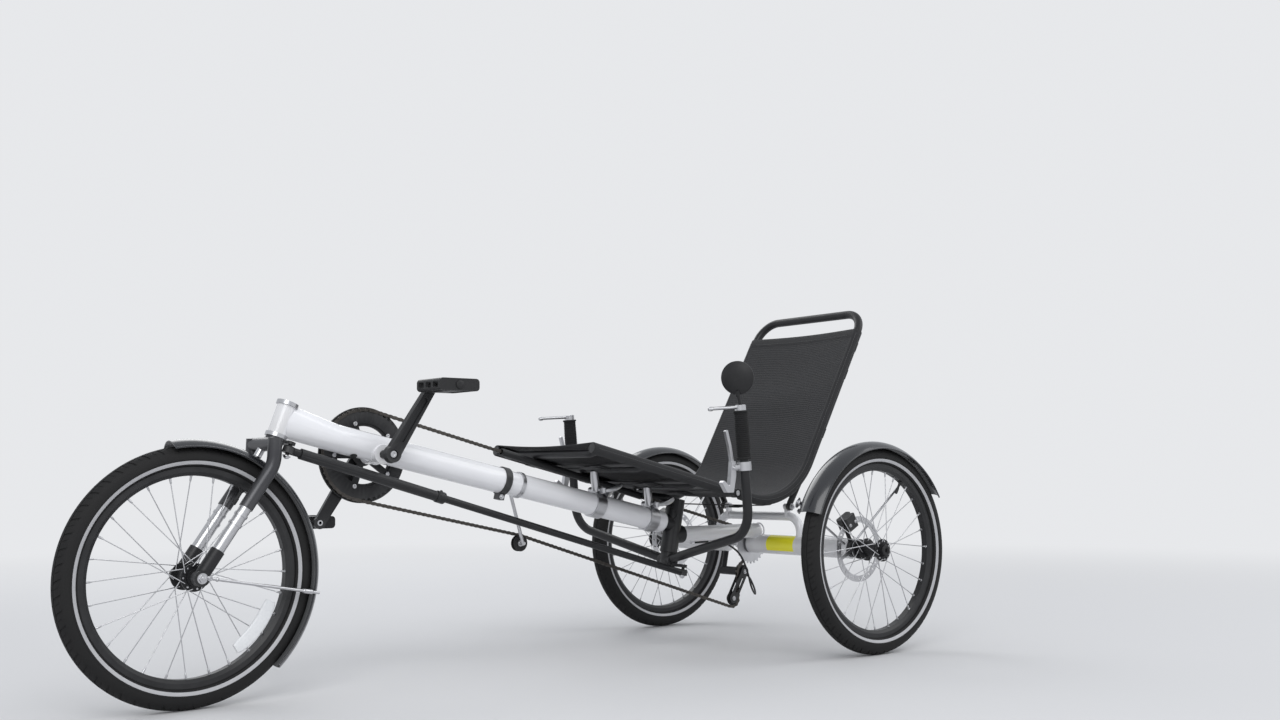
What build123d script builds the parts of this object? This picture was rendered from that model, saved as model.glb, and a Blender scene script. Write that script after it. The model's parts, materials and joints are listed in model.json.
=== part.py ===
from build123d import *
import os
from math import asin, atan2, cos, pi, radians, sin, tan

# A recumbent delta trike: one steered wheel in front, two wheels behind, a mesh
# seat between them and a handlebar under the seat.
# Millimetres. +X is forward, +Y is the rider's left, +Z is up. The origin is on the
# floor, midway between the front and rear axles.

# Wheels
wheelbase = 1535.0
track = 790.0
wheel_radius = 250.0
tyre_width = 47.0
bead_radius = 203.0
rim_lip_radius = 209.0
rim_inner_radius = 192.0
rim_width = 26.0
rim_lip = 2.0
spoke_count = 28
spoke_radius = 1.0
spoke_lean = 51.43
spoke_flare = 1.8
flange_radius = 27.0
flange_hole_radius = 22.0
flange_thickness = 3.0
hub_shell_radius = 17.0

# Frame
front_x = wheelbase / 2
rear_x = -wheelbase / 2
wheel_y = track / 2
boom_radius = 29.0
main_tube_radius = 27.0
boom_rear_x = rear_x + 828.0
boom_rear_z = 426.0
main_tube_rear_x = rear_x + 338.0
head_angle = 20.0
head_top = (front_x - 195.0, 0, wheel_radius + 338.0)
head_length = 76.0
head_radius = 19.0
pivot_angle = 12.0
pivot_point = (rear_x + 310.0, 0, 290)
pivot_radius = 22.0
pivot_above = 84.0
pivot_below = 50.0
rear_tube_radius = 19.0
rear_tube_z = 285.0
beam_radius = 25.0
beam_end_y = wheel_y - 73.0
gap_left_y = -26.0
gap_right_y = -118.0
arch_radius = 11.0
arch_top_z = 335.0
arch_half_y = 150.0
drive_shaft_radius = 8.5

# Drive
crank_x = front_x - 394.0
crank_drop = 13.0
crank_length = 170.0
crank_angle = 123.0
crank_face_y = 66.0
crank_thickness = 13.0
pedal_inner_y = 92.0
pedal_length = 92.0
bracket_shell_width = 68.0
bracket_shell_radius = 20.0
bracket_axle_radius = 9.0
chain_y = -52.0
chain_pitch = 12.7
chain_width = 7.0
chain_height = 8.0
chain_groove = 3.2
chainring_teeth = 48
cog_teeth = 17
jockey_teeth = 11
tooth_thickness = 2.4

# Steering
steer_arm = 45.0
rod_front_radius = 11.0
rod_rear_radius = 8.0
steer_arm_back = 16.0
grip_y = wheel_y - 67.0
grip_top = (rear_x + 383.0, 582.0)
grip_low = (rear_x + 360.0, 300.0)
grip_length = 112.0
grip_radius = 16.0
bar_radius = 11.0

# Seat
seat_rail_y = 190.0
seat_rail_radius = 11.0
seat_front = (rear_x + 710.0, 497.0)
seat_hinge = (rear_x + 270.0, 389.6)
seat_corner_x = rear_x + 80.0
seat_back_angle = 60.0
seat_back_length = 603.0
seat_bend = 190.0
seat_top_bend = 60.0
sling_thickness = 3.0

# Fits between pieces
running = 0.05
touch = 0.3

up_head = Vector(-sin(radians(head_angle)), 0, cos(radians(head_angle)))
up_pivot = Vector(-sin(radians(pivot_angle)), 0, cos(radians(pivot_angle)))
head_middle = Vector(head_top) - up_head * (head_length / 2)
boom_rise = (head_middle.Z - 8.7 - boom_rear_z) / (head_middle.X - boom_rear_x)
boom_way = Vector(1, 0, boom_rise).normalized()
boom_up = Vector(-boom_way.Z, 0, boom_way.X)
across = Vector(0, 1, 0)
sides = (("left", 1), ("right", -1))

os.makedirs("parts", exist_ok=True)


def save(built, name):
    """Label a finished piece and write it."""
    built.part.label = name
    export_step(built.part, f"parts/{name}.step")


def boom_at(x):
    """The point of the boom's centre line at a given x."""
    return Vector(x, 0, boom_rear_z + (x - boom_rear_x) * boom_rise)


def pivot_at(height):
    """A point of the handlebar's steering axis, by its height over the floor."""
    middle = Vector(pivot_point)
    return middle + up_pivot * ((height - middle.Z) / up_pivot.Z)


def bar(start, end, radius, mode=Mode.ADD):
    """A round bar between two points."""
    start, end = Vector(start), Vector(end)
    with BuildSketch(Plane(origin=start, z_dir=end - start)) as section:
        Circle(radius)
    extrude(section.sketch, amount=(end - start).length, mode=mode)


def bent_bar(points, bends, radius):
    """A round bar along straight runs joined by arcs."""
    with BuildLine() as path:
        FilletPolyline(*points, radius=bends)
    with BuildSketch(Plane(origin=path.line @ 0, z_dir=path.line % 0)) as section:
        Circle(radius)
    sweep(section.sketch, path=path.line)


def turned(centre, profile, mode=Mode.ADD):
    """A ring turned about an axle: profile holds rings of (low y, high y, low r, high r)."""
    centre = Vector(centre)
    with BuildSketch(Plane(origin=centre, x_dir=(0, 1, 0), z_dir=(1, 0, 0))) as section:
        for low_y, high_y, low_r, high_r in profile:
            with Locations(((low_y + high_y) / 2, (low_r + high_r) / 2)):
                Rectangle(high_y - low_y, high_r - low_r)
    revolve(section.sketch, Axis(centre, (0, 1, 0)), mode=mode)


crank_z = boom_at(crank_x).Z - crank_drop

# Main tube, from the pivot housing to a lap inside the boom
boom_lap = 130.0
main_end_fillet = 12.0
with BuildPart() as main_tube:
    bar(boom_at(main_tube_rear_x), boom_at(boom_rear_x + boom_lap), main_tube_radius)
    fillet(main_tube.edges().group_by(Axis.X)[0], main_end_fillet)
save(main_tube, "main_tube")

# Boom: a sleeve over the main tube, with the crank's bracket shell and the head tube
head_ahead = across.cross(up_head)
flare_x = head_middle.X - 115.0
flare_half_y = 17.0
with BuildPart() as boom:
    bar(boom_at(boom_rear_x), boom_at(flare_x), boom_radius)
    with BuildSketch(Plane(origin=boom_at(flare_x), x_dir=(0, 1, 0), z_dir=boom_way)):
        Circle(boom_radius)
    with BuildSketch(Plane(origin=head_middle, x_dir=(0, 1, 0), z_dir=head_ahead)):
        Ellipse(flare_half_y, head_length / 2 - 3)
    loft()
    bar(
        (crank_x, -bracket_shell_width / 2, crank_z),
        (crank_x, bracket_shell_width / 2, crank_z),
        bracket_shell_radius,
    )
    head_low = Vector(head_top) - up_head * head_length
    bar(head_low, head_top, head_radius)
    bar(
        boom_at(boom_rear_x) - boom_way * 5,
        boom_at(boom_rear_x + boom_lap),
        main_tube_radius + touch,
        mode=Mode.SUBTRACT,
    )
    bar(
        (crank_x, -bracket_shell_width, crank_z),
        (crank_x, bracket_shell_width, crank_z),
        bracket_axle_radius + running,
        mode=Mode.SUBTRACT,
    )
    steerer_radius = 14.0
    bar(
        head_low - up_head * 5,
        Vector(head_top) - up_head * 8,
        steerer_radius + running,
        mode=Mode.SUBTRACT,
    )
save(boom, "boom")

# Headset cups round both ends of the head tube
cup_height = 8.0
cup_wall = 3.0
with BuildPart() as headset:
    for foot in (Vector(head_top) - up_head * cup_height, head_low):
        with BuildSketch(Plane(origin=foot, z_dir=up_head)):
            Circle(head_radius + touch + cup_wall)
            Circle(head_radius + touch, mode=Mode.SUBTRACT)
        extrude(amount=cup_height)
    with BuildSketch(Plane(origin=head_middle, x_dir=(0, 1, 0), z_dir=head_ahead * -1)) as saddle:
        Ellipse(flare_half_y + 1.5, head_length / 2 - 1.5)
    extrude(saddle.sketch, amount=60, mode=Mode.SUBTRACT)
save(headset, "headset")

# Clamp ring at the boom's rear end, with its bolt below
clamp_length = 16.0
clamp_wall = 5.0
with BuildPart() as boom_clamp:
    clamp_start = boom_at(boom_rear_x) - boom_way * (clamp_length + touch)
    clamp_plane = Plane(origin=clamp_start, x_dir=(0, 1, 0), z_dir=boom_way)
    with BuildSketch(clamp_plane):
        Circle(main_tube_radius + clamp_wall)
        with Locations((0, -main_tube_radius - clamp_wall - 3)):
            Rectangle(20, 16)
        Circle(main_tube_radius + touch, mode=Mode.SUBTRACT)
    extrude(amount=clamp_length)
save(boom_clamp, "boom_clamp")

# Housing of the handlebar's pivot, with a boss that the main tube butts on
boss_radius = 20.0
pivot_top = Vector(pivot_point) + up_pivot * pivot_above
pivot_low = Vector(pivot_point) - up_pivot * pivot_below
stem_radius = 12.0
with BuildPart() as pivot_housing:
    bar(pivot_low, pivot_top, pivot_radius)
    bar(boom_at(main_tube_rear_x - 30), boom_at(main_tube_rear_x), boss_radius)
    bar(
        (pivot_at(rear_tube_z).X - 34, 0, rear_tube_z),
        (pivot_at(rear_tube_z).X, 0, rear_tube_z),
        rear_tube_radius + 3,
    )
    bar(pivot_low - up_pivot, pivot_top - up_pivot * 10, stem_radius + running, Mode.SUBTRACT)
save(pivot_housing, "pivot_housing")

# Axle beam: a left and a right tube with a gap for the drive
axle = Vector(rear_x, 0, wheel_radius)
with BuildPart() as axle_beam:
    for start, end in ((gap_left_y, beam_end_y), (-beam_end_y, gap_right_y)):
        bar(axle + across * start, axle + across * end, beam_radius)
    for start, end in ((gap_left_y - 1, gap_left_y + 30), (gap_right_y - 30, gap_right_y + 1)):
        bar(
            axle + across * start,
            axle + across * end,
            drive_shaft_radius + running,
            mode=Mode.SUBTRACT,
        )
    for sign in (1, -1):
        bar(
            axle + across * sign * (beam_end_y - 40),
            axle + across * sign * (beam_end_y + 1),
            21,
            mode=Mode.SUBTRACT,
        )
save(axle_beam, "axle_beam")

# Rear tube from the pivot housing to the arch
with BuildPart() as rear_tube:
    bar(
        (pivot_at(rear_tube_z).X - 34 - touch, 0, rear_tube_z),
        (rear_x + 8, 0, rear_tube_z),
        rear_tube_radius,
    )
    bar(axle - across * 40, axle + across * 40, beam_radius, mode=Mode.SUBTRACT)
save(rear_tube, "rear_tube")

# Arch over the drive gap, with the two lugs that hold the backrest's struts
lug_y = 118.0
lug_pin_z = 350.0
lug_pin_radius = 4.0
with BuildPart() as beam_arch:
    arch_z = arch_top_z - arch_radius
    bent_bar(
        [
            (rear_x, -arch_half_y, wheel_radius),
            (rear_x, -arch_half_y, arch_z),
            (rear_x, arch_half_y, arch_z),
            (rear_x, arch_half_y, wheel_radius),
        ],
        [40, 40],
        arch_radius,
    )
    bar(axle - across * 170, axle + across * 170, beam_radius, mode=Mode.SUBTRACT)
    for side, sign in sides:
        lug_plane = Plane(origin=(rear_x, sign * (lug_y - 12), 0), x_dir=(1, 0, 0), z_dir=(0, sign, 0))
        with BuildSketch(lug_plane) as lug:
            with Locations((8, lug_pin_z * -sign)):
                Circle(8)
            with Locations((4, (arch_z + lug_pin_z) / 2 * -sign)):
                Rectangle(16, lug_pin_z - arch_z + 10)
        extrude(lug.sketch, amount=7)
        lug_pin = Vector(rear_x + 8, 0, lug_pin_z)
        bar(lug_pin + across * sign * (lug_y - 10), lug_pin + across * sign * (lug_y + 12), lug_pin_radius)
save(beam_arch, "beam_arch")

# Wheels: tyre, rim, laced spokes and hub
half_rim = rim_width / 2
wheels = (
    ("front", front_x, 0.0),
    ("left", rear_x, wheel_y),
    ("right", rear_x, -wheel_y),
)
flange_half = {"front": 26.0, "left": 24.0, "right": 24.0}
for name, x, y in wheels:
    hub_centre = Vector(x, y, wheel_radius)
    hub_plane = Plane(origin=hub_centre, x_dir=(0, 1, 0), z_dir=(1, 0, 0))
    hub_axis = Axis(hub_centre, (0, 1, 0))

    with BuildPart() as tyre:
        with BuildSketch(hub_plane):
            with Locations((0, wheel_radius - tyre_width / 2)):
                Circle(tyre_width / 2)
            with Locations((0, rim_lip_radius + touch - 20)):
                Rectangle(tyre_width, 40, mode=Mode.SUBTRACT)
            with Locations((0, (bead_radius + touch + rim_lip_radius + 4) / 2)):
                Rectangle(rim_width - 2 * rim_lip - 2 * touch, rim_lip_radius + 4 - bead_radius - touch)
        revolve(axis=hub_axis)
    save(tyre, f"{name}_tyre")

    with BuildPart() as rim:
        with BuildSketch(hub_plane):
            with BuildLine():
                Polyline(
                    (-half_rim, rim_lip_radius),
                    (-half_rim + rim_lip, rim_lip_radius),
                    (-half_rim + rim_lip, bead_radius),
                    (half_rim - rim_lip, bead_radius),
                    (half_rim - rim_lip, rim_lip_radius),
                    (half_rim, rim_lip_radius),
                    (half_rim, bead_radius - 4),
                    (half_rim - 5, rim_inner_radius),
                    (-half_rim + 5, rim_inner_radius),
                    (-half_rim, bead_radius - 4),
                    close=True,
                )
            make_face()
        revolve(axis=hub_axis)
    save(rim, f"{name}_rim")

    with BuildPart() as spokes:
        per_flange = spoke_count // 2
        for flange in (1, -1):
            for k in range(per_flange):
                lean = 1 if k % 2 else -1
                hub_turn = radians(360 * (k + (0.5 if flange < 0 else 0)) / per_flange)
                rim_turn = hub_turn + radians(lean * spoke_lean)
                hub_side = flange * flange_half[name] + lean * (
                    flange_thickness / 2 + spoke_radius + running
                )
                if lean * flange > 0:
                    hub_side += flange * spoke_flare
                rim_side = flange * 3 + lean * spoke_radius * 1.2
                root = hub_centre + Vector(
                    flange_hole_radius * cos(hub_turn), hub_side, flange_hole_radius * sin(hub_turn)
                )
                tip_radius = rim_inner_radius - touch
                tip = hub_centre + Vector(
                    tip_radius * cos(rim_turn), rim_side, tip_radius * sin(rim_turn)
                )
                bar(root, tip, spoke_radius)
    save(spokes, f"{name}_spokes")

# Front hub, between the fork ends
dropout_y = 50.0
front_hub_half = 36.5
with BuildPart() as front_hub:
    turned(
        (front_x, 0, wheel_radius),
        [
            (-front_hub_half, front_hub_half, 5 + running, hub_shell_radius),
            (24.5, 27.5, hub_shell_radius - 2, flange_radius),
            (-27.5, -24.5, hub_shell_radius - 2, flange_radius),
        ],
    )
save(front_hub, "front_hub")

# Rear hubs, each on a stub axle that runs in the beam's end
rotor_radius = 80.0
rotor_y = wheel_y - 51.0
rotor_thickness = 2.0
stub_radius = 10.0
hub_cap_radius = 15.0
rotor_track = 15.0
rotor_carrier_radius = 24.0
rotor_arms = 6
for side, sign in sides:
    hub = wheel_y
    with BuildPart() as rear_hub:
        rings = (
            (beam_end_y - 30, hub + 31, 0.0, stub_radius),
            (hub + 29, hub + 33, 0.0, hub_cap_radius),
            (rotor_y + 4, hub + 30, 0.0, hub_shell_radius),
            (hub + 24 - 1.5, hub + 24 + 1.5, 0.0, flange_radius),
            (hub - 24 - 1.5, hub - 24 + 1.5, 0.0, flange_radius),
            (rotor_y + 1, rotor_y + 6, 0.0, rotor_carrier_radius),
        )
        turned(
            (rear_x, 0, wheel_radius),
            [(min(sign * a, sign * b), max(sign * a, sign * b), c, d) for a, b, c, d in rings],
        )
    save(rear_hub, f"{side}_hub")
    with BuildPart() as rotor:
        rotor_plane = Plane(
            origin=axle + across * (sign * rotor_y), x_dir=(1, 0, 0), z_dir=(0, sign, 0)
        )
        with BuildSketch(rotor_plane) as disc:
            Circle(rotor_radius)
            Circle(rotor_radius - rotor_track, mode=Mode.SUBTRACT)
            with PolarLocations(0, rotor_arms):
                with BuildLine():
                    Polyline(
                        (rotor_carrier_radius - 3, -5),
                        (rotor_radius - rotor_track + 2, 17),
                        (rotor_radius - rotor_track - 1, 25),
                        (rotor_carrier_radius - 3, 5),
                        close=True,
                    )
                make_face()
            Circle(rotor_carrier_radius)
            Circle(stub_radius + touch, mode=Mode.SUBTRACT)
            with PolarLocations(rotor_radius - rotor_track / 2, 4 * rotor_arms):
                SlotOverall(9, 3.4, rotation=35, mode=Mode.SUBTRACT)
        extrude(disc.sketch, amount=rotor_thickness / 2, both=True)
    save(rotor, f"{side}_rotor")
with BuildPart() as bearings:
    turned(
        (rear_x, 0, wheel_radius),
        [
            (low, low + 51, stub_radius + running, 20.9)
            for low in (beam_end_y - 39, -beam_end_y - 12)
        ],
    )
save(bearings, "axle_bearings")

# Disc calipers over the rear discs, each on a lug of its bearing
caliper_angle = 62.0
with BuildPart() as calipers:
    for side, sign in sides:
        out = Vector(cos(radians(caliper_angle)), 0, sin(radians(caliper_angle)))
        lug_root = axle + across * sign * (beam_end_y + 5) + out * 21.2
        bar(lug_root, lug_root + out * 56, 5)
        block = Plane(
            origin=axle + across * sign * rotor_y + out * (rotor_radius + 2),
            x_dir=(0, 1, 0),
            z_dir=out,
        )
        with BuildSketch(block.offset(-24)) as body:
            with Locations((-sign * 10.5, 0)):
                RectangleRounded(16, 44, 5)
            with Locations((sign * 8, 0)):
                RectangleRounded(10, 36, 4)
        extrude(body.sketch, amount=34)
        with BuildSketch(block.offset(1)) as bridge:
            Rectangle(22, 30)
        extrude(bridge.sketch, amount=9)
save(calipers, "brake_calipers")

# Crank arms on their axle
crank_centre = Vector(crank_x, 0, crank_z)
arm_way = Vector(cos(radians(crank_angle)), 0, sin(radians(crank_angle)))
pedal_axle_radius = 7.0
with BuildPart() as crank_arms:
    bar(
        crank_centre - across * (crank_face_y + 1),
        crank_centre + across * (crank_face_y + 1),
        bracket_axle_radius,
    )
    for side, sign in sides:
        arm_plane = Plane(
            origin=crank_centre + across * (sign * crank_face_y),
            x_dir=arm_way * sign,
            z_dir=(0, sign, 0),
        )
        with BuildSketch(arm_plane) as arm:
            with BuildLine():
                Polyline((0, 17), (crank_length, 12), (crank_length, -12), (0, -17), close=True)
            make_face()
            Circle(19)
            with Locations((crank_length, 0)):
                Circle(13)
        extrude(arm.sketch, amount=crank_thickness, taper=8)
        with BuildSketch(arm_plane.offset(crank_thickness - 3)) as groove:
            with Locations((crank_length / 2, 0)):
                SlotOverall(crank_length - 60, 10)
        extrude(groove.sketch, amount=4, mode=Mode.SUBTRACT)
        with BuildSketch(arm_plane.offset(crank_thickness - 4)) as bolt_recess:
            Circle(9)
        extrude(bolt_recess.sketch, amount=5, mode=Mode.SUBTRACT)
        pedal_root = crank_centre + arm_way * (sign * crank_length)
        bar(
            pedal_root + across * sign * (crank_face_y + 2),
            pedal_root + across * sign * (pedal_inner_y + pedal_length - 8),
            pedal_axle_radius,
        )
save(crank_arms, "crank_arms")

# Platform pedals, held level, each turning on its axle
pedal_half_x = 48.0
pedal_half_z = 13.0
pedal_window = 27.0
pedal_window_x = 28.5
for side, sign in sides:
    pedal_centre = crank_centre + arm_way * (sign * crank_length)
    middle_y = sign * (pedal_inner_y + pedal_length / 2)
    with BuildPart() as pedal:
        with BuildSketch(Plane(origin=pedal_centre + across * middle_y, z_dir=(0, 1, 0), x_dir=(1, 0, 0))):
            RectangleRounded(2 * pedal_half_x, 2 * pedal_half_z, 8)
            Circle(pedal_axle_radius + running, mode=Mode.SUBTRACT)
        extrude(amount=pedal_length / 2, both=True)
        with BuildSketch(Plane.XY.offset(pedal_centre.Z)) as windows:
            with Locations(
                (pedal_centre.X + pedal_window_x, middle_y), (pedal_centre.X - pedal_window_x, middle_y)
            ):
                RectangleRounded(pedal_window, pedal_length - 20, 7)
        extrude(windows.sketch, amount=2 * pedal_half_z, both=True, mode=Mode.SUBTRACT)
        with BuildSketch(Plane.YZ.offset(pedal_centre.X)) as slots:
            with Locations((middle_y, pedal_centre.Z)):
                with GridLocations(pedal_length / 3 - 2, 1, 3, 1):
                    RectangleRounded(pedal_length / 3 - 10, pedal_half_z - 1, 3)
        extrude(slots.sketch, amount=-pedal_half_x - 1, mode=Mode.SUBTRACT)
        extrude(slots.sketch, amount=pedal_half_x + 1, mode=Mode.SUBTRACT)
        pedal_plane = Plane(origin=pedal_centre + across * middle_y, x_dir=(1, 0, 0), z_dir=(0, 1, 0))
        with BuildSketch(pedal_plane) as core:
            Circle(pedal_half_z - 1)
            Circle(pedal_axle_radius + running, mode=Mode.SUBTRACT)
        extrude(core.sketch, amount=pedal_length / 2, both=True)
    save(pedal, f"{side}_pedal")


def pitch_radius(teeth):
    """The radius at which a chain runs on a sprocket."""
    return teeth * chain_pitch / (2 * pi)


# Chain: each wheel it runs round, in order: (x, z, signed radius). A negative radius
# is a wheel on the outside of the loop.
idler_x = rear_x + 737.0
idler_z = 279.0
idler_radius = 18.0
jockey_radius = pitch_radius(jockey_teeth)
chain_wheels = (
    (crank_x, crank_z, pitch_radius(chainring_teeth)),
    (rear_x, wheel_radius, pitch_radius(cog_teeth)),
    (rear_x + 10, wheel_radius - 76, -jockey_radius),
    (rear_x + 52, wheel_radius - 144, jockey_radius),
    (idler_x, idler_z, -idler_radius),
)


def chain_line(rise):
    """The chain's closed path in x and z, moved outward by rise."""
    path_wheels = [(Vector(x, z), r + rise) for x, z, r in chain_wheels]
    arrive, leave = [], []
    for (here, r1), (there, r2) in zip(path_wheels, path_wheels[1:] + path_wheels[:1]):
        way = there - here
        turn = atan2(way.Y, way.X) + asin((r1 - r2) / way.length)
        normal = Vector(-sin(turn), cos(turn))
        leave.append(here - normal * r1)
        arrive.append(there - normal * r2)
    arrive = arrive[-1:] + arrive[:-1]
    for k, (centre, r) in enumerate(path_wheels):
        first, last = arrive[k] - centre, leave[k] - centre
        start = atan2(first.Y, first.X)
        round_turn = (atan2(last.Y, last.X) - start) % (2 * pi)
        if r < 0:
            round_turn -= 2 * pi
        half = start + round_turn / 2
        middle = centre + Vector(cos(half), sin(half)) * abs(r)
        ThreePointArc(arrive[k], middle, leave[k])
        Line(leave[k], arrive[(k + 1) % len(arrive)])


def chain_band(low, high, width, mode=Mode.ADD):
    """The band between two offsets of the chain's path, as wide as given."""
    with BuildSketch(Plane(origin=(0, chain_y, 0), x_dir=(1, 0, 0), z_dir=(0, -1, 0))) as band:
        with BuildLine():
            chain_line(high)
        make_face()
        with BuildLine():
            chain_line(low)
        make_face(mode=Mode.SUBTRACT)
    extrude(band.sketch, amount=width / 2, both=True, mode=mode)


with BuildPart() as chain:
    chain_band(-chain_height / 2, chain_height / 2, chain_width)
    chain_band(-chain_height / 2 - 1, chain_height / 2 - 1.5, chain_groove, Mode.SUBTRACT)
save(chain, "chain")


def toothed(centre, teeth, thickness, inner):
    """A toothed plate with a round hole."""
    root = pitch_radius(teeth) - 3.4
    tip = pitch_radius(teeth) + 2.0
    with BuildSketch(Plane(origin=centre, x_dir=(1, 0, 0), z_dir=(0, -1, 0))) as plate:
        Circle(root)
        for k in range(teeth):
            turn = 2 * pi * (k + 0.5) / teeth
            half_root, half_tip = 0.30 * 2 * pi / teeth, 0.10 * 2 * pi / teeth
            with BuildLine():
                Polyline(
                    ((root - 1) * cos(turn - half_root), (root - 1) * sin(turn - half_root)),
                    (tip * cos(turn - half_tip), tip * sin(turn - half_tip)),
                    (tip * cos(turn + half_tip), tip * sin(turn + half_tip)),
                    ((root - 1) * cos(turn + half_root), (root - 1) * sin(turn + half_root)),
                    close=True,
                )
            make_face()
        Circle(inner, mode=Mode.SUBTRACT)
    extrude(plate.sketch, amount=thickness / 2, both=True)


# Chainring with its spider and the guard ring outside it
guard_radius = 103.0
guard_y = chain_y - 8.5
with BuildPart() as chainring:
    toothed(crank_centre + across * chain_y, chainring_teeth, tooth_thickness, 68)
    spider_y = chain_y - tooth_thickness / 2
    with BuildSketch(Plane(origin=crank_centre + across * spider_y, x_dir=(1, 0, 0), z_dir=(0, -1, 0))):
        Circle(74)
        Circle(62, mode=Mode.SUBTRACT)
        Circle(24)
        with PolarLocations(43, 5):
            Rectangle(50, 15)
        Circle(bracket_axle_radius + touch, mode=Mode.SUBTRACT)
    extrude(amount=4)
    with BuildSketch(Plane(origin=crank_centre + across * (guard_y + 3), x_dir=(1, 0, 0), z_dir=(0, -1, 0))):
        Circle(guard_radius)
        Circle(66, mode=Mode.SUBTRACT)
    extrude(amount=3)
save(chainring, "chainring")

# Sprockets on the drive shaft, which turns in the beam's two halves
cog_step = 5.0
cassette_teeth = (13, 15, cog_teeth, 19, 21, 23, 26)
with BuildPart() as cassette:
    bar(axle + across * (gap_left_y + 28), axle + across * (gap_right_y - 28), drive_shaft_radius)
    for k, teeth in enumerate(cassette_teeth):
        cog_y = chain_y + (k - cassette_teeth.index(cog_teeth)) * cog_step
        toothed(axle + across * cog_y, teeth, tooth_thickness, drive_shaft_radius - 1)
    turned((rear_x, 0, wheel_radius), [(chain_y - 13, chain_y + 23, drive_shaft_radius - 1, 16)])
save(cassette, "cassette")

# Return idler on a stalk from the main tube
idler_ring_wall = 3.0
with BuildPart() as idler_bracket:
    ring_start = boom_at(idler_x + 36)
    with BuildSketch(Plane(origin=ring_start, x_dir=(0, 1, 0), z_dir=boom_way)) as ring:
        Circle(main_tube_radius + idler_ring_wall)
        with Locations((-main_tube_radius - 6, -6)):
            Rectangle(14, 14)
        Circle(main_tube_radius + touch, mode=Mode.SUBTRACT)
    extrude(ring.sketch, amount=9)
    stalk_y = -main_tube_radius - 8
    stalk_top = ring_start + boom_way * 4.5 + Vector(0, stalk_y, -8)
    bar(stalk_top, (idler_x, stalk_y, idler_z - 4), 4)
    bar((idler_x, stalk_y + 4, idler_z), (idler_x, chain_y - 7, idler_z), 3.8)
save(idler_bracket, "idler_bracket")
with BuildPart() as return_idler:
    turned(
        (idler_x, 0, idler_z),
        [
            (chain_y - 6, chain_y + 6, 3.8 + touch, idler_radius - chain_height / 2 - touch),
            (chain_y - 6, chain_y - 4.5, 3.8 + touch, idler_radius + 1),
            (chain_y + 4.5, chain_y + 6, 3.8 + touch, idler_radius + 1),
        ],
    )
save(return_idler, "return_idler")

# Derailleur: a hanger from the beam's right half, a cage and its two wheels
guide = Vector(chain_wheels[2][0], 0, chain_wheels[2][1])
tension = Vector(chain_wheels[3][0], 0, chain_wheels[3][1])
derailleur_radius = 11.0
with BuildPart() as derailleur:
    for cage_y in (chain_y - 6.5, chain_y + 6.5):
        with BuildSketch(Plane(origin=(0, cage_y, 0), x_dir=(1, 0, 0), z_dir=(0, -1, 0))):
            with BuildLine():
                edge = (tension - guide).normalized().cross(across) * 12
                Polyline(
                    (guide.X + edge.X, guide.Z + edge.Z),
                    (tension.X + edge.X, tension.Z + edge.Z),
                    (tension.X - edge.X, tension.Z - edge.Z),
                    (guide.X - edge.X, guide.Z - edge.Z),
                    close=True,
                )
            make_face()
            with Locations((guide.X, guide.Z), (tension.X, tension.Z)):
                Circle(13)
            cage_middle = (guide + tension) / 2
            cage_turn = atan2(tension.Z - guide.Z, tension.X - guide.X) * 180 / pi
            with Locations(Location((cage_middle.X, cage_middle.Z, 0), (0, 0, cage_turn))):
                SlotOverall((tension - guide).length - 34, 9, mode=Mode.SUBTRACT)
        extrude(amount=1, both=True)
    for wheel in (guide, tension):
        bar(wheel + across * (chain_y - 6), wheel + across * (chain_y + 6), 3)
    bar(guide + across * (chain_y - 7), guide + across * (gap_right_y - 16), derailleur_radius)
    bar(
        guide + across * (gap_right_y - 8) + Vector(0, 0, 5),
        axle + across * (gap_right_y - 8) - Vector(0, 0, beam_radius - 1),
        7,
    )
    bar(
        axle + across * (gap_right_y + 5),
        axle + across * (gap_right_y - 40),
        beam_radius + touch,
        mode=Mode.SUBTRACT,
    )
save(derailleur, "derailleur")
with BuildPart() as jockey_wheels:
    turned(guide, [(chain_y - 1.2, chain_y + 1.2, 3 + touch, jockey_radius - chain_height / 2 - touch)])
    turned(tension, [(chain_y - 1.2, chain_y + 1.2, 3 + touch, jockey_radius - chain_height / 2 - touch)])
save(jockey_wheels, "jockey_wheels")

# Handlebar under the seat, with its stem and the steering arm
arm_reach = across * steer_arm - across.cross(up_pivot) * steer_arm_back
bar_z = 222.0
arm_z = 209.0
rod_pin_z = 196.0
bar_middle = pivot_at(bar_z)
with BuildPart() as handlebar:
    bent_bar(
        [
            (grip_top[0], -grip_y, grip_top[1]),
            (grip_low[0], -grip_y, grip_low[1]),
            (bar_middle.X, 0, bar_z),
            (grip_low[0], grip_y, grip_low[1]),
            (grip_top[0], grip_y, grip_top[1]),
        ],
        [70, 60, 70],
        bar_radius,
    )
save(handlebar, "handlebar")
with BuildPart() as stem:
    bar(pivot_at(bar_z + 14), pivot_top - up_pivot * 12, stem_radius)
    bar(pivot_low - up_pivot * touch, pivot_at(bar_z - 14), 19)
    bar((bar_middle.X, -22, bar_z), (bar_middle.X, 22, bar_z), 16)
    with BuildSketch(Plane(origin=pivot_at(arm_z), x_dir=(0, 1, 0), z_dir=up_pivot)):
        with BuildLine():
            Polyline(
                (0, 14),
                (steer_arm, steer_arm_back + 8),
                (steer_arm, steer_arm_back - 8),
                (0, -14),
                close=True,
            )
        make_face()
        Circle(16)
        with Locations((steer_arm, steer_arm_back)):
            Circle(9)
    extrude(amount=7)
    bar(pivot_at(rod_pin_z) + arm_reach - up_pivot * 8, pivot_at(arm_z) + arm_reach + up_pivot, 4)
    add(handlebar.part, mode=Mode.SUBTRACT)
save(stem, "stem")

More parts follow.
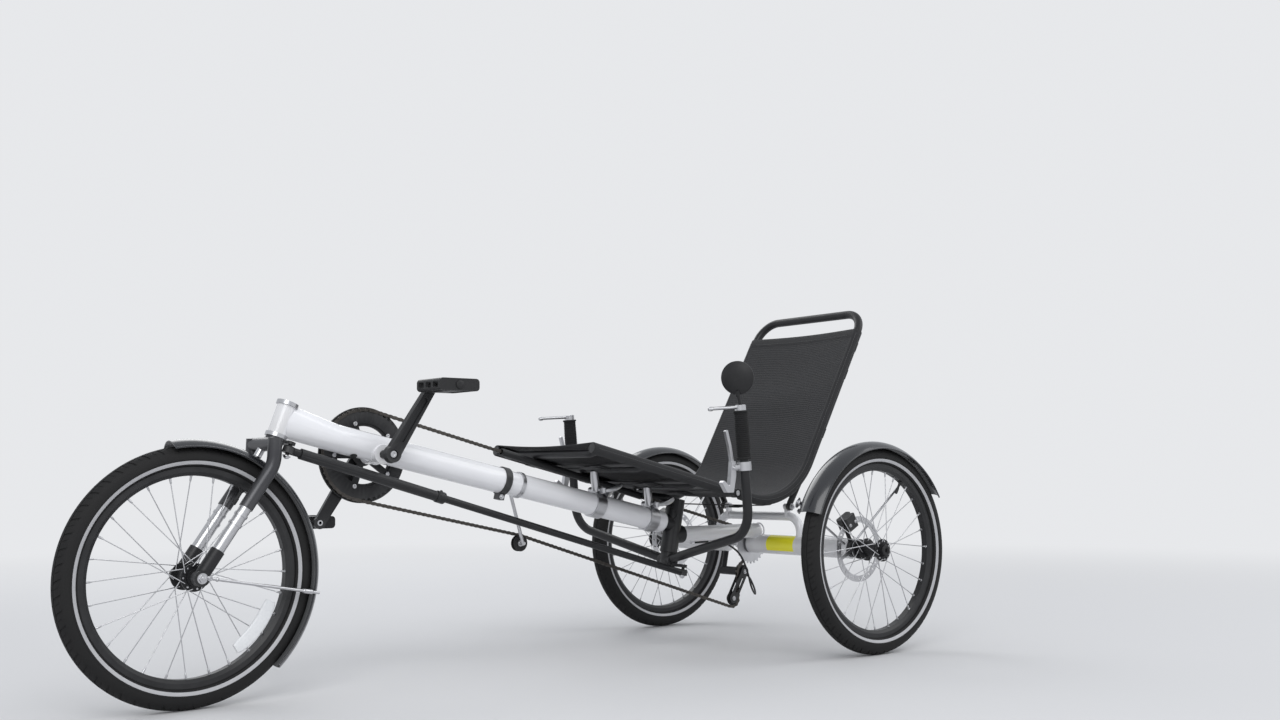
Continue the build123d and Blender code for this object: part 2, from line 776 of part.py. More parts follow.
# Fork: crown, curved upper legs, stanchions and lower castings
fork_y = 52.0
leg_radius = 14.0
leg_line = (
    (front_x - 145.5, wheel_radius + 265.0),
    (front_x - 143.5, wheel_radius + 212.0),
    (front_x, wheel_radius),
)
with BuildPart() as fork_crown:
    bar(head_low - up_head * touch, head_low - up_head * 26, 19)
    bar(head_low - up_head, Vector(head_top) - up_head * 10, steerer_radius)
    crown_point = head_low - up_head * 14
    bar(crown_point, (leg_line[0][0], 0, leg_line[0][1] - 10), 13)
    bar(
        (leg_line[0][0], -fork_y, leg_line[0][1] - 12),
        (leg_line[0][0], fork_y, leg_line[0][1] - 12),
        14,
    )
    leg_bend = Vector(leg_line[1][0], 0, leg_line[1][1])
    leg_way = (Vector(leg_line[2][0], 0, leg_line[2][1]) - leg_bend).normalized()
    for sign in (1, -1):
        bent_bar(
            [
                Vector(leg_line[0][0], sign * fork_y, leg_line[0][1]),
                leg_bend + across * sign * fork_y,
                leg_bend + across * sign * fork_y + leg_way * 100,
            ],
            [60],
            leg_radius,
        )
save(fork_crown, "fork_crown")
stanchion_radius = 12.0
with BuildPart() as stanchions:
    for sign in (1, -1):
        start = leg_bend + across * sign * fork_y + leg_way * (100 + touch)
        bar(start, start + leg_way * 95, stanchion_radius)
        for ring in (14, 34):
            bar(start + leg_way * ring, start + leg_way * (ring + 5), stanchion_radius + 1.6)
save(stanchions, "stanchions")
with BuildPart() as fork_lowers:
    for sign in (1, -1):
        start = leg_bend + across * sign * fork_y + leg_way * (195 + 2 * touch)
        end = Vector(front_x, sign * fork_y, wheel_radius)
        bar(start, end, leg_radius)
        bar(
            (front_x, sign * (dropout_y - 4.5), wheel_radius),
            (front_x, sign * (fork_y + 14), wheel_radius),
            15,
        )
    bar((front_x, -dropout_y, wheel_radius), (front_x, dropout_y, wheel_radius), 5)
save(fork_lowers, "fork_lowers")

# Arm on the fork for the steering rod
fork_reach = across * steer_arm - across.cross(up_head) * steer_arm_back
with BuildPart() as fork_arm:
    arm_base = head_low - up_head * 10
    with BuildSketch(Plane(origin=arm_base, x_dir=(0, 1, 0), z_dir=up_head)):
        with BuildLine():
            Polyline(
                (0, 16),
                (steer_arm, steer_arm_back + 8),
                (steer_arm, steer_arm_back - 8),
                (0, -8),
                close=True,
            )
        make_face()
        with Locations((steer_arm, steer_arm_back)):
            Circle(9)
        Circle(19 + touch, mode=Mode.SUBTRACT)
    extrude(amount=6)
    bar(arm_base + fork_reach - up_head * 23, arm_base + fork_reach + up_head, 4)
    add(fork_crown.part, mode=Mode.SUBTRACT)
save(fork_arm, "fork_arm")

# Steering rod: a thin rear bar in a thicker front sleeve, with an eye at each end
rod_rear = pivot_at(rod_pin_z) + arm_reach
rod_front = arm_base - up_head * 11.5 + fork_reach
rod_way = (rod_front - rod_rear).normalized()
with BuildPart() as steering_rod:
    bar(rod_rear, rod_front, rod_rear_radius)
    bar(rod_rear + rod_way * 720, rod_front - rod_way * 26, rod_front_radius)
    rod_eyes = ((rod_rear, up_pivot, 4 + running), (rod_front, up_head, 6))
    for end, up, bore in rod_eyes:
        bar(end - up * 6, end + up * 6, 12)
    for end, up, bore in rod_eyes:
        bar(end - up * 9, end + up * 9, bore, mode=Mode.SUBTRACT)
save(steering_rod, "steering_rod")

# Seat pan: rails, crossbars and posts on the main tube
hinge = Vector(seat_hinge[0], 0, seat_hinge[1])
hinge_pin_radius = 4.0
hinge_eye_radius = 11.0
hinge_eye_width = 8.0
hinge_gap = 15.0
pan_front = Vector(seat_front[0], 0, seat_front[1])
pan_way = (pan_front - hinge).normalized()
pan_up = Vector(-pan_way.Z, 0, pan_way.X)
back_way = Vector(-cos(radians(seat_back_angle)), 0, sin(radians(seat_back_angle)))
back_front = Vector(back_way.Z, 0, -back_way.X)
corner = hinge + pan_way * ((seat_corner_x - hinge.X) / pan_way.X)
back_top = corner + back_way * seat_back_length
post_xs = (rear_x + 553.0, rear_x + 386.0)
crossbar_radius = 9.0
crossbar_drop = 8.0


def pan_at(x):
    """The point of the pan rails' line at a given x."""
    return hinge + pan_way * ((x - hinge.X) / pan_way.X)


with BuildPart() as seat_pan:
    for sign in (1, -1):
        middle = hinge + across * sign * seat_rail_y
        bar(middle + pan_way * hinge_gap, pan_front + across * sign * seat_rail_y, seat_rail_radius)
        for ear in (1, -1):
            ear_start = ear * (hinge_eye_width / 2 + touch)
            ear_plane = Plane(origin=middle + across * ear_start, x_dir=pan_way, z_dir=(0, ear, 0))
            with BuildSketch(ear_plane) as cheek:
                Circle(hinge_eye_radius)
                with Locations((hinge_gap / 2 + 2, 0)):
                    Rectangle(hinge_gap + 4, 2 * hinge_eye_radius - 6)
            extrude(cheek.sketch, amount=4)
        reach = hinge_eye_width / 2 + 6
        bar(middle - across * reach, middle + across * reach, hinge_pin_radius)
    for x in (*post_xs, seat_front[0] - 20):
        low = pan_at(x) - pan_up * crossbar_drop
        bent_bar(
            [
                pan_at(x) - across * seat_rail_y,
                low - across * (seat_rail_y - 30),
                low + across * (seat_rail_y - 30),
                pan_at(x) + across * seat_rail_y,
            ],
            [40, 40],
            crossbar_radius,
        )
save(seat_pan, "seat_pan")
with BuildPart() as seat_clamps:
    for x in post_xs:
        post_top = pan_at(x) - pan_up * (crossbar_drop + crossbar_radius - 3)
        bar(boom_at(x) + boom_up * (main_tube_radius - 4), post_top, 10)
        with BuildSketch(Plane(origin=boom_at(x) - boom_way * 14, x_dir=(0, 1, 0), z_dir=boom_way)) as strap:
            Circle(main_tube_radius + 4)
        extrude(strap.sketch, amount=28)
    bar(
        boom_at(post_xs[1] - 30),
        boom_at(post_xs[0] + 30),
        main_tube_radius + touch,
        mode=Mode.SUBTRACT,
    )
    add(seat_pan.part, mode=Mode.SUBTRACT)
save(seat_clamps, "seat_clamps")

# Backrest: bent rails from the hinge with crossbars, which folds forward
with BuildPart() as backrest:
    back_start = hinge - pan_way * hinge_gap
    bent_bar(
        [
            back_start + across * seat_rail_y,
            corner + across * seat_rail_y,
            back_top + across * seat_rail_y,
            back_top - across * seat_rail_y,
            corner - across * seat_rail_y,
            back_start - across * seat_rail_y,
        ],
        [seat_bend, seat_top_bend, seat_top_bend, seat_bend],
        seat_rail_radius,
    )
    brace = corner + back_way * 330
    bar(brace - across * seat_rail_y, brace + across * seat_rail_y, 8)
    for side, sign in sides:
        middle = hinge + across * sign * seat_rail_y
        eye_plane = Plane(origin=middle - across * hinge_eye_width / 2, x_dir=pan_way * -1, z_dir=(0, 1, 0))
        with BuildSketch(eye_plane) as eye:
            Circle(hinge_eye_radius)
            with Locations((hinge_gap / 2 + 2, 0)):
                Rectangle(hinge_gap + 4, 2 * hinge_eye_radius - 6)
            Circle(hinge_pin_radius + running, mode=Mode.SUBTRACT)
        extrude(eye.sketch, amount=hinge_eye_width)
save(backrest, "backrest")

# Struts from the backrest's rails down to the lugs on the arch
strut_radius = 8.0
with BuildPart() as seat_struts:
    strut_top = corner + back_way * 150
    for side, sign in sides:
        foot = lug_pin + across * sign * (lug_y + 4)
        bar(foot + Vector(0, 0, 8), strut_top + across * sign * seat_rail_y, strut_radius)
        with BuildSketch(Plane(origin=foot + across * 4, x_dir=(1, 0, 0), z_dir=(0, -1, 0))) as jaw:
            Circle(11)
            Circle(lug_pin_radius + touch, mode=Mode.SUBTRACT)
            with Locations((0, -10)):
                Rectangle(2 * (lug_pin_radius + touch), 20, mode=Mode.SUBTRACT)
        extrude(jaw.sketch, amount=8)
        bar(foot - across * 20, foot + across * 20, lug_pin_radius + touch, mode=Mode.SUBTRACT)
    add(backrest.part, mode=Mode.SUBTRACT)
save(seat_struts, "seat_struts")

# Slings of the pan and the back, stretched over the rails
sling_half_y = seat_rail_y + seat_rail_radius


def sling_line(rise):
    """Corner points of the sling's side line, above the rails' centre line by rise."""
    bend = corner + (pan_up + back_front) * (rise / (1 + pan_up.dot(back_front)))
    low = hinge - pan_way * 6 + pan_up * rise
    high = corner + back_way * (seat_back_length - seat_top_bend) + back_front * rise
    return [(point.X, point.Z) for point in (low, bend, high)]


fold_gap = 20.0
with BuildPart() as pan_sling:
    sling_plane = Plane(
        origin=hinge + pan_way * fold_gap + pan_up * (seat_rail_radius + touch),
        x_dir=pan_way,
        z_dir=pan_up,
    )
    pan_length = (pan_front - hinge).length - fold_gap
    with BuildSketch(sling_plane):
        with Locations((pan_length / 2, 0)):
            Rectangle(pan_length, 2 * sling_half_y)
    extrude(amount=sling_thickness)
save(pan_sling, "pan_sling")
with BuildPart() as back_sling:
    with BuildSketch(Plane.XZ) as back_side:
        low_rise = seat_rail_radius + touch
        with BuildLine():
            lower = FilletPolyline(*sling_line(low_rise), radius=seat_bend - low_rise)
            upper = FilletPolyline(
                *sling_line(low_rise + sling_thickness),
                radius=seat_bend - low_rise - sling_thickness,
            )
            Line(lower @ 0, upper @ 0)
            Line(lower @ 1, upper @ 1)
        make_face()
    extrude(amount=sling_half_y, both=True)
save(back_sling, "back_sling")

# Fenders
fender_inner = wheel_radius + 11.0
fender_wall = 2.0
fender_arch = 0.42
fender_bead = 1.8
fenders = (
    ("front", front_x, 0.0, 31.0, 80.0, 226.0),
    ("left", rear_x, wheel_y, 35.0, 22.0, 150.0),
    ("right", rear_x, -wheel_y, 35.0, 22.0, 150.0),
)
for name, x, y, half, start, end in fenders:
    centre = Vector(x, y, wheel_radius)
    start_way = Vector(cos(radians(start)), 0, sin(radians(start)))
    with BuildPart() as fender:
        edge_r = fender_inner - fender_arch * half
        inner_half = half - fender_wall
        with BuildSketch(Plane(origin=centre, x_dir=(0, 1, 0), z_dir=start_way.cross(across) * -1)):
            with BuildLine():
                ThreePointArc((-inner_half, edge_r), (0, fender_inner), (inner_half, edge_r))
                Line((inner_half, edge_r), (half, edge_r))
                ThreePointArc((half, edge_r), (0, fender_inner + fender_wall), (-half, edge_r))
                Line((-half, edge_r), (-inner_half, edge_r))
            make_face()
            bead_y = half - fender_wall / 2
            with Locations((bead_y, edge_r), (-bead_y, edge_r)):
                Circle(fender_bead)
        revolve(axis=Axis(centre, (0, -1, 0)), revolution_arc=end - start)
    save(fender, f"{name}_fender")

# Stays that carry the rear fenders from the axle beam's ends
stay_radius = 3.0
stay_clear = 14.0
with BuildPart() as rear_stays:
    for side, sign in sides:
        for angle in (28, 135):
            out = Vector(cos(radians(angle)), 0, sin(radians(angle)))
            root = axle + across * sign * (beam_end_y - 4) + out * (beam_radius - 2)
            knee = axle + across * sign * (beam_end_y + 8) + out * (rotor_radius + stay_clear)
            tip = axle + across * sign * (wheel_y - 38) + out * (fender_inner - 4)
            bent_bar([root, knee, tip], [20], stay_radius)
        bar(
            axle + across * sign * (beam_end_y - 12),
            axle + across * sign * (beam_end_y + 14),
            beam_radius,
            mode=Mode.SUBTRACT,
        )
save(rear_stays, "rear_fender_stays")

# Stays of the front fender, and the tab that hangs it on the crown
with BuildPart() as front_stays:
    for sign in (1, -1):
        out = Vector(cos(radians(190)), 0, sin(radians(190)))
        root = Vector(front_x - 12, sign * (fork_y + 18), wheel_radius)
        tip = Vector(front_x, sign * 34.2, wheel_radius) + out * (fender_inner - 5)
        bar(root, tip, stay_radius)
        bar(root + across * sign * 3, root - across * sign * 3.7, 5)
    crown_way = Vector(leg_line[0][0] - front_x, 0, leg_line[0][1] - 12 - wheel_radius).normalized()
    fender_top = Vector(front_x, 0, wheel_radius) + crown_way * (fender_inner + fender_wall + touch)
    bar(fender_top, fender_top + crown_way * 30, 8)
    add(fork_crown.part, mode=Mode.SUBTRACT)
save(front_stays, "front_fender_stays")

# Grips, brake levers, gear levers and the left mirror on the handlebar
grip_way = (Vector(grip_top[0], 0, grip_top[1]) - Vector(grip_low[0], 0, grip_low[1])).normalized()
grip_end = Vector(grip_top[0], 0, grip_top[1])
with BuildPart() as grips:
    for side, sign in sides:
        top = grip_end + across * sign * grip_y
        bar(top - grip_way * grip_length, top, grip_radius)
        for flange_end in (0, grip_length - 4):
            bar(top - grip_way * (flange_end + 4), top - grip_way * flange_end, grip_radius + 2)
        bar(top - grip_way * 150, top + grip_way, bar_radius + touch, mode=Mode.SUBTRACT)
save(grips, "grips")
lever_reach = 28.0
lever_inboard = 11.0
lever_body = ((-6, 15), (6, 16), (10, -20), (14, -42), (32, -28), (38, -34), (22, -56), (2, -56), (-6, -18))
lever_blade = ((-3, 8), (5, 6), (14, 50), (24, 84), (17, 87), (6, 52))
with BuildPart() as brake_levers:
    for side, sign in sides:
        root = grip_end + across * sign * grip_y - grip_way * (grip_length + 16)
        knuckle = root + Vector(lever_reach, -sign * lever_inboard, -4)
        bar(root - grip_way * 10, root + grip_way * 10, bar_radius + 5)
        bar(root, knuckle, 8)
        for outline, thickness, corner_radius in ((lever_body, 12, 2.5), (lever_blade, 8, 2)):
            with BuildSketch(Plane(origin=knuckle, x_dir=(1, 0, 0), z_dir=(0, -1, 0))) as form:
                with BuildLine():
                    Polyline(*outline, close=True)
                make_face()
                fillet(form.vertices(), corner_radius)
            extrude(form.sketch, amount=thickness / 2, both=True)
        bar(root - grip_way * 20, root + grip_way * 20, bar_radius + touch, mode=Mode.SUBTRACT)
save(brake_levers, "brake_levers")
with BuildPart() as gear_levers:
    for side, sign in sides:
        top = grip_end + across * sign * grip_y + grip_way * touch
        bar(top, top + grip_way * 12, 13)
        bar(top + grip_way * 7 + Vector(8, 0, 0), top + grip_way * 7 + Vector(98, 0, -6), 4)
save(gear_levers, "gear_levers")
mirror_centre = Vector(grip_top[0] + 9.0, grip_y, grip_top[1] + 75.0)
mirror_radius = 39.0
mirror_way = Vector(0.85, 0.5, -0.12).normalized()
with BuildPart() as mirror:
    stem_foot = grip_end + across * grip_y + grip_way * (12 + 4 * touch)
    bar(stem_foot, mirror_centre - Vector(0, 0, 30), 4)
    mirror_side = mirror_way.cross(Vector(0, 0, 1)).normalized()
    mirror_plane = Plane(origin=mirror_centre, x_dir=mirror_side, z_dir=mirror_side.cross(mirror_way))
    with BuildSketch(mirror_plane) as shell:
        with BuildLine():
            Polyline((0, 9), (0, -6), (mirror_radius - 1, -6), (mirror_radius, -4), (mirror_radius, 0))
            ThreePointArc((mirror_radius, 0), (mirror_radius * 0.62, 6.4), (0, 9))
        make_face()
    revolve(shell.sketch, Axis(mirror_centre, mirror_way))
save(mirror, "mirror")

# Tube that guards the chain's upper run, hung from the seat pan's crossbars
upper_turn = atan2(crank_z - wheel_radius, crank_x - rear_x) + asin(
    (chain_wheels[0][2] - chain_wheels[1][2])
    / (Vector(crank_x, 0, crank_z) - Vector(rear_x, 0, wheel_radius)).length
)
upper_way = Vector(cos(upper_turn), 0, sin(upper_turn))
upper_up = Vector(-sin(upper_turn), 0, cos(upper_turn))


def upper_run(x):
    """The point of the chain's upper run at a given x."""
    start = axle + upper_up * chain_wheels[1][2] + across * chain_y
    return start + upper_way * ((x - start.X) / upper_way.X)


tube_bore = 6.5
tube_outer = 8.5
tube_rear_x = rear_x + 367.5
tube_front_x = rear_x + 787.5
with BuildPart() as chain_tube:
    bar(upper_run(tube_rear_x), upper_run(tube_front_x), tube_outer)
    for x in post_xs:
        hanger = upper_run(x)
        crossbar_z = (pan_at(x) - pan_up * crossbar_drop).Z - crossbar_radius
        bar(hanger, Vector(hanger.X, hanger.Y, crossbar_z - touch), 3)
    bar(upper_run(tube_rear_x - 10), upper_run(tube_front_x + 10), tube_bore, mode=Mode.SUBTRACT)
save(chain_tube, "chain_tube")

# Hitch lug behind the axle beam for a towed trike's pin
hitch_y = 60.0
hitch_hole = 5.0
hitch_thickness = 12.0
with BuildPart() as tow_hitch:
    with BuildSketch(Plane.XY.offset(wheel_radius - hitch_thickness / 2)):
        with BuildLine():
            Polyline(
                (rear_x, hitch_y + 20),
                (rear_x - 52, hitch_y + 13),
                (rear_x - 52, hitch_y - 13),
                (rear_x, hitch_y - 20),
                close=True,
            )
        make_face()
        with Locations((rear_x - 52, hitch_y)):
            Circle(13)
            Circle(hitch_hole, mode=Mode.SUBTRACT)
    extrude(amount=hitch_thickness)
    bar(axle, axle + across * 120, beam_radius, mode=Mode.SUBTRACT)
save(tow_hitch, "tow_hitch")

# Gear cable's housing: under the rear tube, then in a loop behind the derailleur
cable_radius = 2.5
cable_y = -14.0
cable_z = rear_tube_z - rear_tube_radius - cable_radius
derailleur_y = gap_right_y + 8.0
cable_points = [
    (rear_x + 227.5, cable_y, cable_z - 3),
    (rear_x + 167.5, cable_y, cable_z - 2),
    (rear_x + 107.5, cable_y + 2, cable_z - 8),
    (rear_x + 59.5, cable_y + 4, cable_z - 38),
    (rear_x + 35.5, cable_y + 5, cable_z - 84),
    (rear_x + 15.5, cable_y - 2, cable_z - 130),
    (rear_x - 20.5, cable_y - 22, cable_z - 154),
    (rear_x - 47.5, cable_y - 52, cable_z - 140),
    (rear_x - 47.5, derailleur_y + 22, cable_z - 106),
    (rear_x - 28.5, derailleur_y, cable_z - 90),
    (guide.X - derailleur_radius - touch, derailleur_y, cable_z - 88),
]
cable_path = [Vector(*point) for point in cable_points]
cable_bends = []
for before, point, after in zip(cable_path, cable_path[1:], cable_path[2:]):
    turn = radians((point - before).get_angle(after - point))
    cable_bends.append(0.45 * min((point - before).length, (after - point).length) / tan(turn / 2))
with BuildPart() as gear_cable:
    bent_bar(cable_path, cable_bends, cable_radius)
save(gear_cable, "gear_cable")
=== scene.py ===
import json
from math import acos, asin, atan2, cos, degrees, exp, pi, radians, sin, sqrt, tan

import bmesh
import bpy
from mathutils import Matrix, Vector


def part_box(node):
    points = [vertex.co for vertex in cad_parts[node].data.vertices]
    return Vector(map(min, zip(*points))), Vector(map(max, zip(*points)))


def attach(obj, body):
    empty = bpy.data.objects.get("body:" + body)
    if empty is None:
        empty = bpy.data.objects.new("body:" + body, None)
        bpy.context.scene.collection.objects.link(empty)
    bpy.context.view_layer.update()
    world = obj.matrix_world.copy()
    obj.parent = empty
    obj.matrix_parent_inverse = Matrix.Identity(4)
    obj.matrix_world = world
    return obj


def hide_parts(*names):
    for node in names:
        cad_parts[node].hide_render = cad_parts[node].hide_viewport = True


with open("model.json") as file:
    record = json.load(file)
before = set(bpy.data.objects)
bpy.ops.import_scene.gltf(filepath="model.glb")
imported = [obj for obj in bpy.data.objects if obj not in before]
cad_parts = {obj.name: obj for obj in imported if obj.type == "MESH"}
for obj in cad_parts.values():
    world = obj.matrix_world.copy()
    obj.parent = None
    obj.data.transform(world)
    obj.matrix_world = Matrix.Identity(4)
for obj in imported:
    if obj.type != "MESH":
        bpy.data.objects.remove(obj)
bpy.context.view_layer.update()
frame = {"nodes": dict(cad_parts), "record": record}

# Directions, and the wheels' places and sizes. Metres: +X ahead, +Y to the rider's left, +Z up
AHEAD, ACROSS, UP = Vector((1, 0, 0)), Vector((0, 1, 0)), Vector((0, 0, 1))
SIDES = (("left", 1), ("right", -1))


def around(turn):
    """The direction at turn degrees from ahead towards up."""
    return Vector((cos(radians(turn)), 0, sin(radians(turn))))


def above(way):
    """The direction square to way that faces up, for a way in the trike's middle plane."""
    return Vector((-way.z, 0, way.x))


def middle(node):
    """The middle of a node's box."""
    low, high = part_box(node)
    return (low + high) / 2


WHEELS = {name: middle(f"{name}_tyre") for name in ("front", "left", "right")}
WHEEL_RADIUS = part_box("front_tyre")[1].z - WHEELS["front"].z
TYRE_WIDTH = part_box("front_tyre")[1].y * 2
AXLE = Vector((WHEELS["left"].x, 0, WHEELS["left"].z))


# Materials
def fill_inputs(tree, node, values):
    """Set a node's inputs, each to a value or to the output that feeds it."""
    for name, value in values.items():
        if isinstance(value, bpy.types.NodeSocket):
            tree.links.new(value, node.inputs[name])
        else:
            node.inputs[name].default_value = value


def add_node(tree, kind, output, values, **settings):
    """The named output of a new shader node."""
    node = tree.nodes.new(f"ShaderNode{kind}")
    for name, value in settings.items():
        setattr(node, name, value)
    fill_inputs(tree, node, values)
    return node.outputs[output]


def add_mix(tree, share, colour, other):
    """A colour mixed from two, each an output or a colour."""
    return add_node(tree, "Mix", "Result", {"Factor": share, "A": colour, "B": other}, data_type="RGBA")


def add_bump(tree, height, strength):
    """A normal from a height of up to a millimetre."""
    return add_node(tree, "Bump", "Normal", {"Height": height, "Strength": strength, "Distance": 0.001})


def finish_material(
    name, colour, other, rough, rough_range, grain, bump, bump_scale,
    metal=0.0, coat=0.0, sheen=0.0, specular=0.5, wear=None,
):
    """A material with uneven colour and roughness, a fine bump and, if given, a worn edge colour."""
    material = bpy.data.materials.new(name)
    material.use_nodes = True
    tree = material.node_tree
    place = add_node(tree, "TexCoord", "Object", {})
    cloud = add_node(tree, "TexNoise", "Fac", {"Vector": place, "Scale": grain, "Detail": 6})
    tint = add_mix(tree, cloud, (*colour, 1), (*other, 1))
    if wear:
        pointed = add_node(tree, "NewGeometry", "Pointiness", {})
        edge = add_node(tree, "MapRange", "Result", {"Value": pointed, "From Min": 0.55, "From Max": 0.68})
        worn = add_node(tree, "Math", "Value", {0: edge, 1: cloud}, operation="MULTIPLY")
        tint = add_mix(tree, worn, tint, (*wear, 1))
    spread = {"Value": cloud, "To Min": rough - rough_range, "To Max": rough + rough_range}
    fine = add_node(tree, "TexNoise", "Fac", {"Vector": place, "Scale": bump_scale, "Detail": 3})
    fill_inputs(tree, tree.nodes["Principled BSDF"], {
        "Metallic": metal,
        "Coat Weight": coat,
        "Coat Roughness": 0.08,
        "Sheen Weight": sheen,
        "Specular IOR Level": specular,
        "Base Color": tint,
        "Roughness": add_node(tree, "MapRange", "Result", spread),
        "Normal": add_bump(tree, fine, bump),
    })
    return material


def woven_material(name, colour, thread, pitch):
    """A woven mesh: threads both ways as a bump, over its two colours mixed in clouds."""
    material = finish_material(name, colour, thread, 0.75, 0.08, 25, 0.0, 300, sheen=0.06, specular=0.3)
    tree = material.node_tree
    place = add_node(tree, "TexCoord", "Object", {})
    waves = {
        k: add_node(tree, "TexWave", "Fac", {"Vector": place, "Scale": 0.314 / pitch}, bands_direction=axis)
        for k, axis in enumerate("XY")
    }
    threads = add_node(tree, "Math", "Value", waves, operation="MAXIMUM")
    fill_inputs(tree, tree.nodes["Principled BSDF"], {"Normal": add_bump(tree, threads, 0.6)})
    return material


# For each slot or look: its two colours, its roughness and how far that varies, the scale of its clouds,
# the strength and the scale of its bump, and what else it has
FINISHES = {
    "white_gloss": (
        (0.86, 0.86, 0.88), (0.80, 0.80, 0.83), 0.22, 0.05, 9, 0.03, 420,
        {"coat": 0.6, "wear": (0.55, 0.54, 0.52)},
    ),
    "black_satin": (
        (0.010, 0.010, 0.011), (0.018, 0.018, 0.020), 0.40, 0.08, 30, 0.12, 900,
        {"specular": 0.35, "wear": (0.10, 0.10, 0.10)},
    ),
    "fork_grey": (
        (0.05, 0.05, 0.055), (0.075, 0.075, 0.08), 0.34, 0.07, 24, 0.04, 700,
        {"metal": 0.6, "wear": (0.3, 0.3, 0.3)},
    ),
    "tyre": ((0.009, 0.009, 0.010), (0.019, 0.0185, 0.018), 0.68, 0.12, 18, 0.25, 520, {"specular": 0.25}),
    "stripe": ((0.47, 0.47, 0.48), (0.40, 0.40, 0.42), 0.4, 0.06, 70, 0.1, 1500, {}),
    "alloy": ((0.62, 0.62, 0.63), (0.52, 0.52, 0.54), 0.34, 0.06, 30, 0.015, 500, {"metal": 1.0}),
    "steel": ((0.62, 0.62, 0.63), (0.52, 0.52, 0.54), 0.30, 0.06, 45, 0.01, 500, {"metal": 1.0}),
    "chain_steel": ((0.13, 0.12, 0.11), (0.07, 0.065, 0.06), 0.36, 0.1, 160, 0.08, 900, {"metal": 1.0}),
    "fender_black": ((0.016, 0.017, 0.020), (0.024, 0.025, 0.029), 0.24, 0.08, 7, 0.03, 300, {"coat": 0.4}),
    "grip_rubber": (
        (0.010, 0.010, 0.011), (0.018, 0.018, 0.018), 0.8, 0.08, 60, 0.3, 1100, {"specular": 0.3}
    ),
    "plastic": ((0.012, 0.012, 0.013), (0.020, 0.020, 0.021), 0.5, 0.08, 35, 0.12, 1200, {"specular": 0.35}),
    "label_yellow": ((0.97, 0.92, 0.03), (0.93, 0.87, 0.03), 0.40, 0.05, 60, 0.08, 1600, {"coat": 0.3}),
    "reflector": ((0.84, 0.85, 0.86), (0.72, 0.73, 0.75), 0.25, 0.06, 200, 0.2, 900, {"coat": 0.5}),
    "webbing": (
        (0.016, 0.016, 0.017), (0.03, 0.03, 0.032), 0.78, 0.08, 90, 0.35, 1400,
        {"sheen": 0.08, "specular": 0.3},
    ),
    "thread": ((0.05, 0.05, 0.052), (0.075, 0.075, 0.078), 0.6, 0.08, 120, 0.1, 1500, {"sheen": 0.2}),
    "mirror_glass": ((0.74, 0.76, 0.78), (0.70, 0.72, 0.74), 0.05, 0.02, 8, 0.0, 300, {"metal": 1.0}),
}
MATERIALS = {look: finish_material(look, *values, **rest) for look, (*values, rest) in FINISHES.items()}
MATERIALS["mesh"] = woven_material("mesh", (0.012, 0.012, 0.013), (0.028, 0.028, 0.031), 0.003)

slot_of = {piece["node"]: piece["material_slot"] for piece in frame["record"]["subparts"]}
for name, node in frame["nodes"].items():
    node.data.materials.clear()
    node.data.materials.append(MATERIALS[slot_of[name]])


# Meshes. A form is a pair: its vertices, and its faces
def square_to(way):
    """Two directions square to way and to each other."""
    side = way.cross(ACROSS if abs(way.y) < 0.9 else UP).normalized()
    return side, way.cross(side)


def circled(side, other, steps):
    """Directions at equal steps round a circle, from side towards other."""
    turns = [2 * pi * k / steps for k in range(steps)]
    return [side * cos(turn) + other * sin(turn) for turn in turns]


def grid_faces(rows, columns, closed_rows=False, closed_columns=False):
    """Faces between rows of points, each way open or closed on itself."""
    faces = []
    for row in range(rows if closed_rows else rows - 1):
        here, there = row * columns, (row + 1) % rows * columns
        for k in range(columns if closed_columns else columns - 1):
            after = (k + 1) % columns
            faces.append((here + k, here + after, there + after, there + k))
    return faces


def sheet_faces(rows, columns):
    """Faces of a sheet, two layers of rows by columns points: two for each cell, then its edge's."""
    layer = rows * columns
    faces = []
    for a, b, c, d in grid_faces(rows, columns):
        faces += [(a, b, c, d), (d + layer, c + layer, b + layer, a + layer)]
    edge = list(range(columns)) + [row * columns + columns - 1 for row in range(1, rows)]
    edge += [(rows - 1) * columns + k for k in range(columns - 2, -1, -1)]
    edge += [row * columns for row in range(rows - 2, 0, -1)]
    return faces + [(b, a, a + layer, b + layer) for a, b in zip(edge, edge[1:] + edge[:1])]


def skinned(rows, closed=False):
    """A form through rows of points, each a closed outline. It has flat ends, or is closed on itself."""
    count, wide = len(rows), len(rows[0])
    faces = grid_faces(count, wide, closed, True)
    if not closed:
        faces += [tuple(reversed(range(wide))), tuple(range((count - 1) * wide, count * wide))]
    return [point for row in rows for point in row], faces


def turned(place, way, profile, steps=24):
    """A closed form turned about way. profile has rows of (along, radius), with "hex" third for a hexagon."""
    place, way = Vector(place), Vector(way).normalized()
    outs = circled(*square_to(way), steps)
    vertices = []
    for along, radius, *hexagon in profile:
        for k, out in enumerate(outs):
            past_corner = 2 * pi * k / steps % (pi / 3)
            reach = radius * cos(pi / 6) / cos(past_corner - pi / 6) if hexagon else radius
            vertices.append(place + way * along + out * reach)
    faces = grid_faces(len(profile), steps, False, True)
    low_tip, last = len(vertices), len(vertices) - steps
    for k in range(steps):
        after = (k + 1) % steps
        faces += [(low_tip, after, k), (low_tip + 1, last + k, last + after)]
    return vertices + [place + way * profile[0][0], place + way * profile[-1][0]], faces


def ringed(place, way, profile, steps=48):
    """A ring turned about way, from a closed profile of (along, radius)."""
    place, way = Vector(place), Vector(way).normalized()
    return skinned([
        [place + way * along + out * radius for along, radius in profile]
        for out in circled(*square_to(way), steps)
    ], closed=True)


